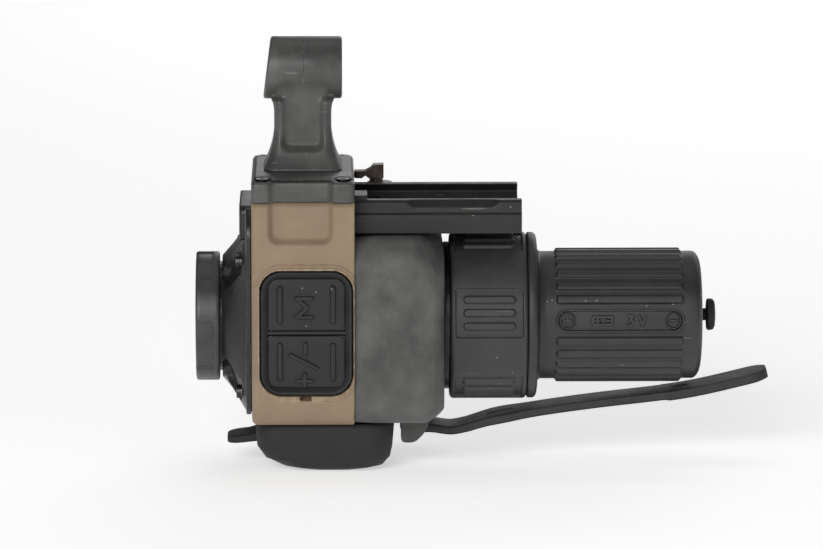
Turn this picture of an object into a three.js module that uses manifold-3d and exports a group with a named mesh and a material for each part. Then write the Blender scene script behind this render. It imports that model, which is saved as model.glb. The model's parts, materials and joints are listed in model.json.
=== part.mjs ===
// Clip-on thermal imaging camera.
// Millimetres, +Z up. The objective looks along -X and the battery tube points along +X.
// The part's origin is the middle of the clamp's seat; the pieces are drawn about the optical axis,
// which runs along X at Y = 0, and the whole camera is lowered by the height of that seat.
import * as THREE from 'three';
import { mergeVertices } from 'three/addons/utils/BufferGeometryUtils.js';
import Module from 'manifold-3d';

const wasm = await Module();
wasm.setup();

// ---------------------------------------------------------------- driving dimensions

const air = 0.3; // between pieces that move past each other or lie side by side
const seam = 0.06; // between pieces that are bolted or pressed face to face

const cell = { radius: 8.4, length: 34.2, clearance: 0.35, recess: 3.12, capRadius: 3.2, capLength: 1 };
const tube = { wall: 2.25, endWall: 1.5, springGap: 1.6, flangeLength: 1.7, flangeStep: 0.05,
  sleeveLength: 10.4, sleeveWall: 1.45,
  ribCount: 27, ribHeight: 0.55, ribStart: 3.1, ribTail: 3.3, ribWidth: 1.3, ribDepth: 0.5,
  panelSpan: 18.6, panelTurn: 3.5, panelGap: 37, panelProud: 0.45, endRound: 2.6 };
const post = { neckRadius: 1.05, neckLength: 0.9, headRadius: 2.75, headLength: 1.5 };
const neck = { gap: 1.15, floor: 1, shoulder: 1.1, spigotLength: 6, spigotWall: 1.1 };
const collar = { length: 13.2, wall: 2.45, bead: 0.7, padCount: 5, padPitch: 66, padTurn: 10, padSpan: 32.4,
  padDepth: 0.4, padInset: 0.9, ribsPerPad: 3, ribPitch: 9.3, ribWidth: 1.2, ribInset: 1.9 };
const rear = { length: 15.25, halfWidth: 17.7, coverAbove: 1.25, coverBelow: 2.05, wall: 1.7, topCorner: 5,
  lowCorner: 3.2, edge: 2.2 };
const clamp = {
  length: 28.2, halfWidth: 12.5, floorThick: 1.5, jawHeight: 4.2,
  railHalfTop: 8, railHalfWide: 10.8, railRise: 2.8, lipHalf: 9.4, edge: 0.45,
  stopLength: 1.9, stopRise: 4.9, stopWidth: 5.4,
  jawStep: 0.3, headSink: 0.1,
};
const housing = { length: 17.5, halfWidth: 18, belowRear: 0.3, aboveClamp: 0.3, wall: 2.2, corner: 3.2,
  edge: 0.8 };
const keypad = { width: 15.6, height: 21.2, shiftX: 0.55, lowered: 0.3, corner: 3.6, proud: 0.45,
  border: 1.05, split: 0.5, inset: 2.6 };
const keyBar = { offset: 4.4, width: 0.8, height: 0.3, length: 6.4 };
const thumbRecess = { width: 10.2, height: 7, depth: 1.1, corner: 1.8 };
const lens = { radius: 7.5, edge: 1.2, frontBulge: 1.1, backBulge: 0.4, cellWall: 0.84, cellLength: 4.4 };
const lensTube = { wall: 0.7, depth: 9 };
const focus = { length: 4.05, wall: 1.45, lip: 0.9, lipInset: 1.4, groove: 0.5, notches: 6,
  notchDepth: 0.35, travelGap: 0.25 };
const flange = { plate: 0.95, narrower: 2.4, shorterBelow: 1.3, shorterAbove: 1.7, corner: 5,
  coneLength: 4.1, coneEndWall: 1.04, coneFootInset: 0.7,
  bossLength: 1.1, bossBottom: 15, bossHalfWidth: 11,
  spigot: 1.6, gasket: 0.54, screwFloor: 0.7, screwInset: 3.6, pocketRadius: 2 };
const arm = { plateThick: 4.04, plateChamfer: 0.7, plateChamferWidth: 3, footHalfX: 6.75, footHalfY: 7.5,
  neckHalfX: 4.9, neckHalfY: 5.1, neckHeight: 9.7, barrelRadius: 5.35, barrelHeight: 17.05,
  barrelFront: 6.8, barrelBack: 6.7, barrelSlant: 1.35,
  boreRadius: 2.9, windowRadius: 4, screwInsetX: 1.9, screwInsetY: 2.5, pocketHalf: 3.7,
  pocketDepth: 0.7, pocketRise: 3.2, pocketHeight: 8.4 };
const cover = { overhangFront: 0.5, backX: -7.6, halfDepth: 12.6, drop: 8.4, wall: 1.4, tabLength: 4.9,
  tabHalf: 4.4, tabThick: 1.2 };
const port = { halfX: 5.4, halfY: 4.6, drop: 3.2 };
const ear = { frontX: -6.4, thick: 2, drop: 4.8, pinRise: 2, pinBack: 2.4, sideGap: 0.4 };
const strap = { halfWidth: 4.1, thick: 1.4, eyeRadius: 1.5, pinRadius: 0.8, slotX: 11, slotHalfLength: 1.9,
  slotHalfWidth: 1.2, postHole: 1.5, holeX: 42 };
const lever = { pivotX: -10.4, hubRadius: 2.15, camX: 0.6, camY: -0.5, jawGap: 0.35, pinRadius: 0.75,
  eyeRadius: 1.6, eyeThick: 1.6,
  lobe: 1.5, armLength: 17.4, armThick: 2.4, headRise: 1.6, hornRise: 2.8 };
const bolt = { radius: 1, rise: 0.95, slotHalf: 1.3 };
const spring = { turns: 2.2, wire: 0.3, outer: 5.6, inner: 3 };
const contact = { wireHole: 3, radius: 4.2, stud: 1.4 };
const screwSize = { headRadius: 1.15, headHeight: 0.9, shankRadius: 0.7, socket: 0.5 };

// Sizes that follow from the ones above.
const tubeBore = cell.radius + cell.clearance;
const tubeOuter = tubeBore + tube.wall;
const sleeveOuter = tubeBore + tube.sleeveWall;
const neckBore = sleeveOuter + air;
const spigotOuter = neckBore + neck.spigotWall;
const neckOuter = spigotOuter + neck.shoulder;
const collarBore = spigotOuter + air;
const collarOuter = collarBore + collar.wall;
const tubeFlangeOuter = collarOuter - tube.flangeStep;
const rearAbove = collarOuter + rear.coverAbove;
const rearBelow = collarOuter + rear.coverBelow;
const clampBottom = rearAbove + air;
const seatZ = clampBottom + clamp.floorThick;
const clampTop = seatZ + clamp.jawHeight;
const housingAbove = clampTop + housing.aboveClamp;
const housingBelow = rearBelow + housing.belowRear;
const plateHalf = housing.halfWidth - flange.narrower;
const plateBelow = housingBelow - flange.shorterBelow;
const plateAbove = housingAbove - flange.shorterAbove;
const lensCellOuter = lens.radius + seam + lens.cellWall;
const lensTubeInner = lensCellOuter + air;
const lensTubeOuter = lensTubeInner + lensTube.wall;
const focusOuter = lensTubeOuter + focus.travelGap + focus.wall;
const coneEndRadius = lensTubeOuter + seam + flange.coneEndWall;
const pivotY = clamp.halfWidth + lever.jawGap - lever.camY + lever.hubRadius;
const earGapHalf = strap.halfWidth + ear.sideGap;

// Stations along X, each worked out from the one before it.
const clampFront = -clamp.length / 2;
const housingBack = clampFront - air;
const housingFront = housingBack - housing.length;
const housingMid = (housingBack + housingFront) / 2;
const keypadX = housingMid + keypad.shiftX;
const keypadZ = -keypad.lowered;
const rearBack = housingBack + rear.length;
const collarFront = rearBack + neck.gap;
const collarBack = collarFront + collar.length;
const tubeFront = collarBack + seam;
const sleeveFront = tubeFront - tube.sleeveLength;
const cellFront = sleeveFront + cell.recess;
const cellBack = cellFront + cell.length;
const tubeEnd = cellBack + tube.springGap + tube.endWall;
const plateFront = housingFront - seam - flange.plate;
const coneEnd = plateFront - flange.coneLength;
const ringBack = coneEnd - focus.groove;
const ringFront = ringBack - focus.length;
const lensTubeFront = ringFront + focus.lip + air;
const frontSpigotEnd = housingFront + flange.spigot;
const gasketEnd = frontSpigotEnd + seam + flange.gasket;
const undersideZ = -housingBelow;
const boltZ = seatZ + bolt.rise;
const armBaseBottom = housingAbove + seam;
const plateTop = armBaseBottom + arm.plateThick;
const barrelAxis = plateTop + arm.barrelHeight;

// ---------------------------------------------------------------- finishes

const finish = (color, roughness, metalness) => new THREE.MeshStandardMaterial({ color, roughness,
  metalness });
const finishes = {
  tan: finish('#9a8670', 0.55, 0),
  blackShell: finish('#4c4c4a', 0.6, 0),
  castGrey: finish('#5c5c5a', 0.5, 0.3),
  rubber: finish('#3d3d3d', 0.85, 0),
  grip: finish('#444444', 0.8, 0),
  anodised: finish('#2e2e2f', 0.45, 0.7),
  steel: finish('#8b8b88', 0.35, 0.9),
  blackSteel: finish('#26262a', 0.4, 0.8),
  bronze: finish('#4d443e', 0.45, 0.7),
  germanium: finish('#59606b', 0.1, 0.6),
  glass: finish('#30404a', 0.05, 0),
  board: finish('#1f5a36', 0.6, 0),
  gold: finish('#c9a24a', 0.3, 0.9),
  jacket: finish('#c2c5c8', 0.45, 0.1),
  chip: finish('#222222', 0.5, 0),
};

// ---------------------------------------------------------------- solids

// A manifold-3d solid of a closed geometry, turned the right way out if its faces point inwards.
function solid(geometry) {
  const plain = geometry.clone();
  for (const name of Object.keys(plain.attributes)) {
    if (name !== 'position') plain.deleteAttribute(name);
  }
  const merged = mergeVertices(plain, 1e-4);
  const faces = [];
  for (let i = 0; i < merged.index.count; i += 3) {
    const [a, b, c] = [0, 1, 2].map((k) => merged.index.getX(i + k));
    if (a !== b && b !== c && c !== a) faces.push([a, b, c]);
  }
  const made = (rows) => new wasm.Manifold(new wasm.Mesh({
    numProp: 3,
    vertProperties: Float32Array.from(merged.attributes.position.array),
    triVerts: Uint32Array.from(rows.flat()),
  }));
  const first = made(faces);
  return first.volume() < 0 ? made(faces.map(([a, b, c]) => [a, c, b])) : first;
}

function geometryOf(manifold) {
  const mesh = manifold.getMesh();
  const positions = new Float32Array(mesh.numVert * 3);
  for (let i = 0; i < mesh.numVert; i++) {
    positions.set(mesh.vertProperties.subarray(i * mesh.numProp, i * mesh.numProp + 3), i * 3);
  }
  const geometry = new THREE.BufferGeometry().setAttribute('position',
    new THREE.BufferAttribute(positions, 3));
  geometry.setIndex(new THREE.BufferAttribute(Uint32Array.from(mesh.triVerts), 1));
  return geometry.toNonIndexed();
}

const union = (...solids) => solids.reduce((a, b) => a.add(b));
const cut = (from, ...tools) => tools.reduce((a, b) => a.subtract(b), from);

function box(x0, x1, y0, y1, z0, z1) {
  const geometry = new THREE.BoxGeometry(x1 - x0, y1 - y0, z1 - z0);
  return solid(geometry.translate((x0 + x1) / 2, (y0 + y1) / 2, (z0 + z1) / 2));
}

// A rounded rectangle from (u0, v0) to (u1, v1).
function roundedRectangle(u0, u1, v0, v1, r) {
  const shape = new THREE.Shape();
  shape.moveTo(u0 + r, v0).lineTo(u1 - r, v0).absarc(u1 - r, v0 + r, r, -Math.PI / 2, 0);
  shape.lineTo(u1, v1 - r).absarc(u1 - r, v1 - r, r, 0, Math.PI / 2);
  shape.lineTo(u0 + r, v1).absarc(u0 + r, v1 - r, r, Math.PI / 2, Math.PI);
  shape.lineTo(u0, v0 + r).absarc(u0 + r, v0 + r, r, Math.PI, Math.PI * 1.5);
  return shape;
}

const polygon = (points) => new THREE.Shape(points.map(([u, v]) => new THREE.Vector2(u, v)));

const extrusion = (shape, depth, curveSegments) =>
  new THREE.ExtrudeGeometry(shape, { depth, bevelEnabled: false, curveSegments });

const axes = {
  x: [new THREE.Vector3(0, 1, 0), new THREE.Vector3(0, 0, 1), new THREE.Vector3(1, 0, 0)],
  y: [new THREE.Vector3(0, 0, 1), new THREE.Vector3(1, 0, 0), new THREE.Vector3(0, 1, 0)],
  z: [new THREE.Vector3(1, 0, 0), new THREE.Vector3(0, 1, 0), new THREE.Vector3(0, 0, 1)],
};

// A shape drawn in (Y, Z), (Z, X) or (X, Y) and pushed along the remaining axis from a to b.
function prism(axis, shape, a, b, curveSegments = 5) {
  const geometry = extrusion(shape, b - a, curveSegments);
  geometry.applyMatrix4(new THREE.Matrix4().makeBasis(...axes[axis]));
  return solid(geometry.translate(...axes[axis][2].clone().multiplyScalar(a).toArray()));
}

// The outline [[along, radius], ...] turned about the X axis. A ring's outline closes on itself.
function turned(outline, segments = 40) {
  const points = outline.map(([x, r]) => new THREE.Vector2(r, x));
  return solid(new THREE.LatheGeometry(points, segments).rotateZ(-Math.PI / 2));
}

const rod = (x0, x1, r, segments) => turned([[x0, 0], [x0, r], [x1, r], [x1, 0]], segments);
const ring = (x0, x1, inner, outer, segments) =>
  turned([[x0, inner], [x0, outer], [x1, outer], [x1, inner], [x0, inner]], segments);

// A round bar along Y or Z at the other two coordinates.
function bar(axis, centre, a, b, r, segments = 20) {
  const geometry = new THREE.CylinderGeometry(r, r, b - a, segments);
  if (axis === 'z') geometry.rotateX(Math.PI / 2);
  if (axis === 'x') geometry.rotateZ(Math.PI / 2);
  const middle = new THREE.Vector3(...centre);
  middle[axis] = (a + b) / 2;
  return solid(geometry.translate(middle.x, middle.y, middle.z));
}

// A closed skin over a row of outlines that have the same number of points.
function loft(outlines) {
  const n = outlines[0].length;
  const points = outlines.flat();
  const faces = [];
  for (let i = 0; i < outlines.length - 1; i++) {
    for (let j = 0; j < n; j++) {
      const a = i * n + j;
      const b = i * n + ((j + 1) % n);
      faces.push(a, b, b + n, a, b + n, a + n);
    }
  }
  [0, outlines.length - 1].forEach((row, end) => {
    const middle = outlines[row].reduce((sum, p) => sum.add(p), new THREE.Vector3()).divideScalar(n);
    const hub = points.push(middle) - 1;
    for (let j = 0; j < n; j++) {
      const a = row * n + j;
      const b = row * n + ((j + 1) % n);
      faces.push(...(end ? [a, b, hub] : [b, a, hub]));
    }
  });
  const geometry = new THREE.BufferGeometry().setFromPoints(points);
  return solid(geometry.setIndex(faces));
}

// Points of a rounded rectangle whose low and high corners may have different radii.
function roundedOutline(u0, u1, v0, v1, lowRadius, highRadius, perCorner, place) {
  const corners = [
    [u1 - lowRadius, v0 + lowRadius, lowRadius, -90],
    [u1 - highRadius, v1 - highRadius, highRadius, 0],
    [u0 + highRadius, v1 - highRadius, highRadius, 90],
    [u0 + lowRadius, v0 + lowRadius, lowRadius, 180],
  ];
  const points = [];
  for (const [u, v, r, start] of corners) {
    for (let i = 0; i <= perCorner; i++) {
      const angle = THREE.MathUtils.degToRad(start + (90 * i) / perCorner);
      points.push(place(u + r * Math.cos(angle), v + r * Math.sin(angle)));
    }
  }
  return points;
}

// ---------------------------------------------------------------- scene building

const camera = new THREE.Group();
camera.position.z = -seatZ;

function add(name, shape, material, parent = camera) {
  const mesh = new THREE.Mesh(geometryOf(shape), material);
  mesh.geometry.computeVertexNormals();
  mesh.name = name;
  parent.add(mesh);
  return mesh;
}

// A socket-head screw whose head rests on Z = 0, with its shank below.
function screw(length) {
  const { headRadius, headHeight, shankRadius, socket } = screwSize;
  const body = union(
    bar('z', [0, 0, 0], 0, headHeight, headRadius, 14),
    bar('z', [0, 0, 0], -length, 0.01, shankRadius, 10),
  );
  return cut(body, bar('z', [0, 0, 0], headHeight * 0.35, headHeight + 1, socket, 6));
}

// ---------------------------------------------------------------- main housing and its keypad

// The keypad's outline, drawn in by an inset and pushed between two depths.
function keypadOutline(inset, y0, y1) {
  const { width, height, corner } = keypad;
  const [z0, z1] = [keypadZ - height / 2 + inset, keypadZ + height / 2 - inset];
  const [x0, x1] = [keypadX - width / 2 + inset, keypadX + width / 2 - inset];
  return prism('y', roundedRectangle(z0, z1, x0, x1, corner - inset), y0, y1);
}

// The shallow recess that runs down from the arm's base onto the near side of the housing.
function thumbRecessCut() {
  const { width, height, depth, corner } = thumbRecess;
  const [x0, x1] = [housingMid - width / 2, housingMid + width / 2];
  const shape = roundedRectangle(housingAbove - height, housingAbove + 10, x0, x1, corner);
  return prism('y', shape, -housing.halfWidth - 1, -housing.halfWidth + depth);
}

function mainHousing() {
  const { halfWidth, wall, corner, edge } = housing;
  const outline = (x, inset) => roundedOutline(-halfWidth + inset, halfWidth - inset, undersideZ + inset,
    housingAbove - inset * 0.2, corner, 0.8, 4, (y, z) => new THREE.Vector3(x, y, z));
  const outer = loft([outline(housingFront, edge), outline(housingFront + edge, 0),
    outline(housingBack - edge * 0.3, 0), outline(housingBack, edge * 0.3)]);
  const innerHalf = halfWidth - wall;
  const cavity = box(housingFront - 1, housingBack + 1, -innerHalf, innerHalf, undersideZ + wall,
    housingAbove - wall);
  const armOpening = box(housingMid - 5, housingMid + 5, -10, 10, housingAbove - wall - 1, housingAbove + 1);
  const [portX, portY] = [port.halfX + seam, port.halfY + seam];
  const portOpening = box(housingMid - portX, housingMid + portX, -portY, portY, undersideZ - 1,
    undersideZ + wall + 1);
  const keypadOpening = keypadOutline(-seam, -halfWidth - 1, -halfWidth + keypad.inset);
  return cut(outer, cavity, armOpening, portOpening, thumbRecessCut(), keypadOpening);
}

function keypadFrame() {
  const { width, proud, inset, border, split } = keypad;
  const front = -housing.halfWidth - proud;
  const back = -housing.halfWidth + inset - seam;
  const rim = cut(keypadOutline(0, front, back), keypadOutline(border, front - 1, back + 1));
  const reach = width / 2 - border / 2;
  const divider = box(keypadX - reach, keypadX + reach, front + 0.5, back, keypadZ - split / 2,
    keypadZ + split / 2);
  return union(rim, divider);
}

// One key: a plate with two raised bars. side is 1 above the split and -1 below it.
function key(side) {
  const { width, height, border, split, corner, proud, inset } = keypad;
  const outerZ = side * (height / 2 - border - air);
  const innerZ = side * (split / 2 + air);
  const half = width / 2 - border - air;
  const round = corner - border - air;
  const front = -housing.halfWidth - proud + 0.15;
  const back = -housing.halfWidth + inset - 0.9;
  const rows = [[front, 0.35], [front + 0.35, 0], [back, 0]].map(([y, shrink]) => {
    const low = keypadZ + Math.min(innerZ, outerZ) + shrink;
    const high = keypadZ + Math.max(innerZ, outerZ) - shrink;
    const radii = side > 0 ? [0.5, round - shrink] : [round - shrink, 0.5];
    const [x0, x1] = [keypadX - half + shrink, keypadX + half - shrink];
    return roundedOutline(x0, x1, low, high, ...radii, 4, (x, z) => new THREE.Vector3(x, y, z));
  });
  const middle = keypadZ + (innerZ + outerZ) / 2;
  const bars = [-1, 1].map((s) => {
    const x = keypadX + s * keyBar.offset;
    const [x0, x1] = [x - keyBar.width / 2, x + keyBar.width / 2];
    return box(x0, x1, front - keyBar.height, front + 0.2, middle - keyBar.length / 2,
      middle + keyBar.length / 2);
  });
  return union(loft(rows), ...bars);
}

const keypadBack = -housing.halfWidth + keypad.inset;
const keypadBoard = () => box(keypadX - 6, keypadX + 6, keypadBack + 0.1, keypadBack + 1, keypadZ - 9.5,
  keypadZ + 9.5);

// The snap dome that one key presses on.
function keyDome(side) {
  const z = keypadZ + side * ((keypad.height / 2 - keypad.border) / 2 + 0.2);
  return bar('y', [keypadX, 0, z], keypadBack - 0.23, keypadBack + 0.05, 1.8, 16);
}

// ---------------------------------------------------------------- front: flange, cone, focus ring and lens

// Where the four flange screws stand, measured in from the plate's edges.
const screwY = plateHalf - flange.screwInset;
const screwZ = plateBelow - flange.screwInset - 0.6;
const flangeScrews = [[-screwY, screwZ], [-screwY, -screwZ], [screwY, screwZ], [screwY, -screwZ]];

function frontHousing() {
  const { corner, coneFootInset, bossLength, bossBottom, bossHalfWidth, screwFloor, pocketRadius } = flange;
  const seat = housingFront - seam;
  const plate = prism('x', roundedRectangle(-plateHalf, plateHalf, -plateBelow, plateAbove, corner),
    plateFront, seat);
  const bossShape = roundedRectangle(-bossHalfWidth, bossHalfWidth, bossBottom - 2, plateAbove + 0.3, 1.4);
  const boss = prism('x', bossShape, plateFront - bossLength, seat);
  const footHalf = plateHalf - coneFootInset;
  const footBelow = Math.min(footHalf, plateBelow - 0.4);
  const foot = roundedOutline(-footHalf, footHalf, -footBelow, footBelow, 5, 5, 9,
    (y, z) => new THREE.Vector3(plateFront, y, z));
  const end = foot.map((p) => {
    const away = new THREE.Vector2(p.y, p.z).setLength(coneEndRadius);
    return new THREE.Vector3(coneEnd, away.x, away.y);
  });
  const pockets = flangeScrews.map(([y, z]) => union(
    bar('x', [0, y, z], coneEnd - 1, plateFront - screwFloor, pocketRadius, 18),
    bar('x', [0, y * 0.86, z * 0.86], coneEnd - 1, plateFront - screwFloor - 0.8, pocketRadius, 18),
  ));
  const holes = flangeScrews.map(([y, z]) =>
    bar('x', [0, y, z], coneEnd - 1, frontSpigotEnd + 2, screwSize.shankRadius + seam, 10));
  const bore = rod(coneEnd - 1, frontSpigotEnd + 1, lensTubeOuter + seam);
  return cut(union(plate, boss, loft([foot, end]), frontSpigot()), bore, ...pockets, ...holes);
}

// A wall that plugs into the housing: outside and inside half sizes, between two stations.
function spigotWall(x0, x1, inset, wall) {
  const half = housing.halfWidth - housing.wall - inset;
  const [z0, z1] = [undersideZ + housing.wall + inset, housingAbove - housing.wall - inset];
  const outer = prism('x', roundedRectangle(-half, half, z0, z1, 1.6), x0, x1);
  const inner = prism('x', roundedRectangle(-half + wall, half - wall, z0 + wall, z1 - wall, 1.2), x0 - 1,
    x1 + 1);
  return cut(outer, inner);
}

const frontSpigot = () => spigotWall(housingFront - seam - 0.1, frontSpigotEnd, air + 0.4, 1.7);
const frontGasket = () => spigotWall(frontSpigotEnd + seam, gasketEnd, air + 0.5, 1.5);
const lensBarrel = () => ring(lensTubeFront, lensTubeFront + lensTube.depth, lensTubeInner, lensTubeOuter);

function focusRing() {
  const inner = lensTubeOuter + focus.travelGap;
  const lipInner = lensTubeOuter - focus.lipInset;
  const lipBack = ringFront + focus.lip;
  const body = turned([[ringFront, lipInner + 0.5], [ringFront, focusOuter - 0.5],
    [ringFront + 0.4, focusOuter],
    [ringBack - 0.3, focusOuter], [ringBack, focusOuter - 0.3], [ringBack, inner], [lipBack, inner],
    [lipBack, lipInner], [ringFront + 0.5, lipInner], [ringFront, lipInner + 0.5]], 48);
  const notch = box(ringFront - 1, ringFront + 2.3, -2.4, 2.4, focusOuter - focus.notchDepth, focusOuter + 2);
  const notches = Array.from({ length: focus.notches }, (_, i) => notch.rotate([(360 / focus.notches) * i,
    0, 0]));
  return cut(body, ...notches);
}

const lensCellFront = ringFront + focus.lip + seam;
const lensCell = () => ring(lensCellFront, lensCellFront + lens.cellLength, lens.radius + seam,
  lensCellOuter, 36);

// A round lens with spherical bulges of the given heights on its two sides.
function dish(x0, edge, radius, front, back, segments, steps) {
  const arc = (height, sign, x) => Array.from({ length: steps + 1 }, (_, i) => {
    const r = (radius * i) / steps;
    return [x + sign * height * (1 - (r / radius) ** 2), r];
  });
  return turned([...arc(front, -1, x0), ...arc(back, 1, x0 + edge).reverse()], segments);
}

const objectiveLens = () => dish(lensCellFront + lens.frontBulge + 0.4, lens.edge, lens.radius,
  lens.frontBulge,
  lens.backBulge, 36, 5);

// ---------------------------------------------------------------- rear housing, neck, collar, battery tube

const strapPivot = [ear.frontX + ear.pinBack, 0, -rearBelow - ear.drop + ear.pinRise];

function rearHousing() {
  const { halfWidth, wall, topCorner, lowCorner, edge } = rear;
  const front = housingBack + seam;
  const outline = (x, inset) => roundedOutline(-halfWidth + inset, halfWidth - inset, -rearBelow + inset,
    rearAbove - inset, lowCorner, topCorner, 5, (y, z) => new THREE.Vector3(x, y, z));
  const rounding = [0, 0.3, 0.62, 1].map((t) => {
    const angle = (t * Math.PI) / 2;
    return outline(rearBack - edge * (1 - Math.sin(angle)), edge * (1 - Math.cos(angle)));
  });
  const innerHalf = halfWidth - wall;
  const cavity = box(front - 1, rearBack - wall - 0.6, -innerHalf, innerHalf, -rearBelow + wall,
    rearAbove - wall);
  const shell = cut(loft([outline(front, 0.15), outline(front + 0.4, 0), ...rounding]), cavity);
  const wireHole = rod(rearBack - 4, rearBack + 1, contact.wireHole, 20);
  const screwHoles = clampScrews().map((x) =>
    bar('z', [x, 0, 0], rearAbove - wall - 1, rearAbove + 1, screwSize.shankRadius + seam, 10));
  const pinHole = bar('y', strapPivot, -halfWidth, halfWidth, strap.pinRadius + seam, 14);
  return cut(union(shell, ...ears()), wireHole, ...screwHoles, pinHole);
}

// The two ears that carry the strap's pin, one each side of the strap.
function ears() {
  const { frontX, thick, drop } = ear;
  const [top, bottom] = [-rearBelow + 1, -rearBelow - drop];
  const shape = polygon([[top, frontX], [bottom, frontX], [bottom, frontX + 2.3], [bottom + 2, frontX + 4.4],
    [top, frontX + 5.4]]);
  return [prism('y', shape, earGapHalf, earGapHalf + thick), prism('y', shape, -earGapHalf - thick,
    -earGapHalf)];
}

const strapPin = () => bar('y', strapPivot, -earGapHalf - ear.thick, earGapHalf + ear.thick,
  strap.pinRadius, 14);

function batteryNeck() {
  const front = rearBack + seam;
  const shoulderEnd = collarFront - air;
  const spigotEnd = collarFront + neck.spigotLength;
  return turned([[front, contact.wireHole], [front, neckOuter], [shoulderEnd, neckOuter],
    [shoulderEnd, spigotOuter],
    [spigotEnd, spigotOuter], [spigotEnd, neckBore], [front + neck.floor, neckBore],
    [front + neck.floor, contact.wireHole], [front, contact.wireHole]], 40);
}

// The collar turns on the neck's spigot. Its grip pads are shallow recesses, each with raised ribs.
function lockCollar() {
  const { bead, padCount, padPitch, padTurn, padSpan, padDepth, padInset, ribsPerPad, ribPitch,
    ribWidth } = collar;
  const [outer, bore, lipBore] = [collarOuter, collarBore, collarBore - 1];
  const body = turned([[collarFront, bore], [collarFront, outer - bead],
    [collarFront + bead * 0.3, outer - bead * 0.3],
    [collarFront + bead, outer], [collarBack - bead, outer], [collarBack - bead * 0.3, outer - bead * 0.3],
    [collarBack, outer - bead], [collarBack, lipBore], [collarBack - 2, lipBore], [collarBack - 2, bore],
    [collarFront, bore]], 54);
  const [x0, x1] = [collarFront + padInset, collarBack - padInset];
  const arc = (r, toward) => Array.from({ length: 7 }, (_, i) => {
    const angle = THREE.MathUtils.degToRad(toward * padSpan * (i / 6 - 0.5));
    return [-r * Math.cos(angle), r * Math.sin(angle)];
  });
  const recess = prism('x', polygon([...arc(outer - padDepth, 1), ...arc(outer + 1, -1)]), x0, x1);
  const [ribX0, ribX1] = [x0 + collar.ribInset, x1 - collar.ribInset];
  const ribShape = roundedRectangle(-ribWidth / 2, ribWidth / 2, ribX0, ribX1, ribWidth / 2 - 0.01);
  const rib = prism('y', ribShape, -outer, -outer + padDepth + 0.6, 2);
  const onPads = (tool, offset = 0) => Array.from({ length: padCount }, (_, i) =>
    tool.rotate([-(padTurn + (i - (padCount - 1) / 2) * padPitch + offset), 0, 0]));
  const ribs = Array.from({ length: ribsPerPad }, (_, i) => onPads(rib,
    (i - (ribsPerPad - 1) / 2) * ribPitch)).flat();
  return union(cut(body, ...onPads(recess)), ...ribs);
}

// A ribbed cup with a shoulder flange and an inner sleeve that plugs into the neck.
function batteryTube() {
  const { flangeLength, endRound, endWall } = tube;
  const flangeEnd = tubeFront + flangeLength;
  const rounding = [0, 0.33, 0.67, 1].map((t) => {
    const angle = (t * Math.PI) / 2;
    return [tubeEnd - endRound * 0.6 * (1 - Math.sin(angle)), tubeOuter - endRound * (1 - Math.cos(angle))];
  });
  const cup = turned([[sleeveFront, tubeBore], [sleeveFront, sleeveOuter], [tubeFront, sleeveOuter],
    [tubeFront, tubeFlangeOuter - 0.3], [tubeFront + 0.3, tubeFlangeOuter], [flangeEnd - 0.6,
      tubeFlangeOuter],
    [flangeEnd, tubeFlangeOuter - 0.9], [flangeEnd + 0.35, tubeOuter], ...rounding, [tubeEnd + 0.2, 0],
    [tubeEnd - endWall, 0], [tubeEnd - endWall, tubeBore], [sleeveFront, tubeBore]], 54);
  const postHole = rod(tubeEnd - endWall - 1, tubeEnd + 1, post.neckRadius + seam, 16);
  return cut(union(cup, labelPanel(), ...tubeRibs()), postHole);
}

const ribFront = tubeFront + tube.flangeLength + tube.ribStart;
const ribBack = tubeEnd - tube.ribTail;

// The grip ribs share out the circle that the label panel leaves.
function tubeRibs() {
  const { ribCount, ribHeight, ribWidth, ribDepth, panelGap, panelTurn } = tube;
  const rib = box(ribFront, ribBack, -tubeOuter - ribHeight, -tubeOuter + ribDepth, -ribWidth / 2,
    ribWidth / 2);
  return Array.from({ length: ribCount }, (_, i) => {
    const turn = panelTurn + panelGap / 2 + ((360 - panelGap) * i) / (ribCount - 1);
    return rib.rotate([-turn, 0, 0]);
  });
}

function labelPanel() {
  const half = tubeOuter * Math.sin(THREE.MathUtils.degToRad(tube.panelSpan / 2));
  const shape = roundedRectangle(-half, half, ribFront, ribBack, half - 0.01);
  return prism('y', shape, -tubeOuter - tube.panelProud, -tubeOuter + 0.6).rotate([-tube.panelTurn, 0, 0]);
}

// The mushroom post on the end of the tube, over which the strap's hole buttons.
function strapPost() {
  const { neckRadius, neckLength, headRadius, headLength } = post;
  const root = tubeEnd - tube.endWall + 0.1;
  const headFront = tubeEnd + 0.25 + neckLength;
  const headBack = headFront + headLength;
  return turned([[root, 0], [root, neckRadius], [headFront, neckRadius], [headFront, headRadius - 0.4],
    [headFront + 0.4, headRadius], [headBack - 0.4, headRadius], [headBack, headRadius - 0.5], [headBack,
      0]], 24);
}

function batteryCell() {
  const { capRadius, capLength, radius } = cell;
  const shoulder = cellFront + capLength;
  return turned([[cellFront, 0], [cellFront, capRadius], [shoulder, capRadius], [shoulder, radius - 0.5],
    [shoulder + 0.5, radius], [cellBack - 0.4, radius], [cellBack, radius - 0.4], [cellBack, 0]], 32);
}

// A flat coil of spring wire between the cell and the end of the tube.
function contactSpring() {
  const { turns, wire, outer, inner } = spring;
  const [start, reach] = [cellBack + wire + 0.1, tube.springGap - 2 * wire - 0.2];
  const points = Array.from({ length: 41 }, (_, i) => {
    const t = i / 40;
    const angle = t * turns * Math.PI * 2;
    const r = outer + (inner - outer) * t;
    return new THREE.Vector3(start + t * reach, r * Math.cos(angle), r * Math.sin(angle));
  });
  const section = new THREE.Shape().absarc(0, 0, wire, 0, Math.PI * 2);
  const path = new THREE.CatmullRomCurve3(points);
  return solid(new THREE.ExtrudeGeometry(section, { steps: 50, curveSegments: 3, bevelEnabled: false,
    extrudePath: path }));
}

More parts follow.
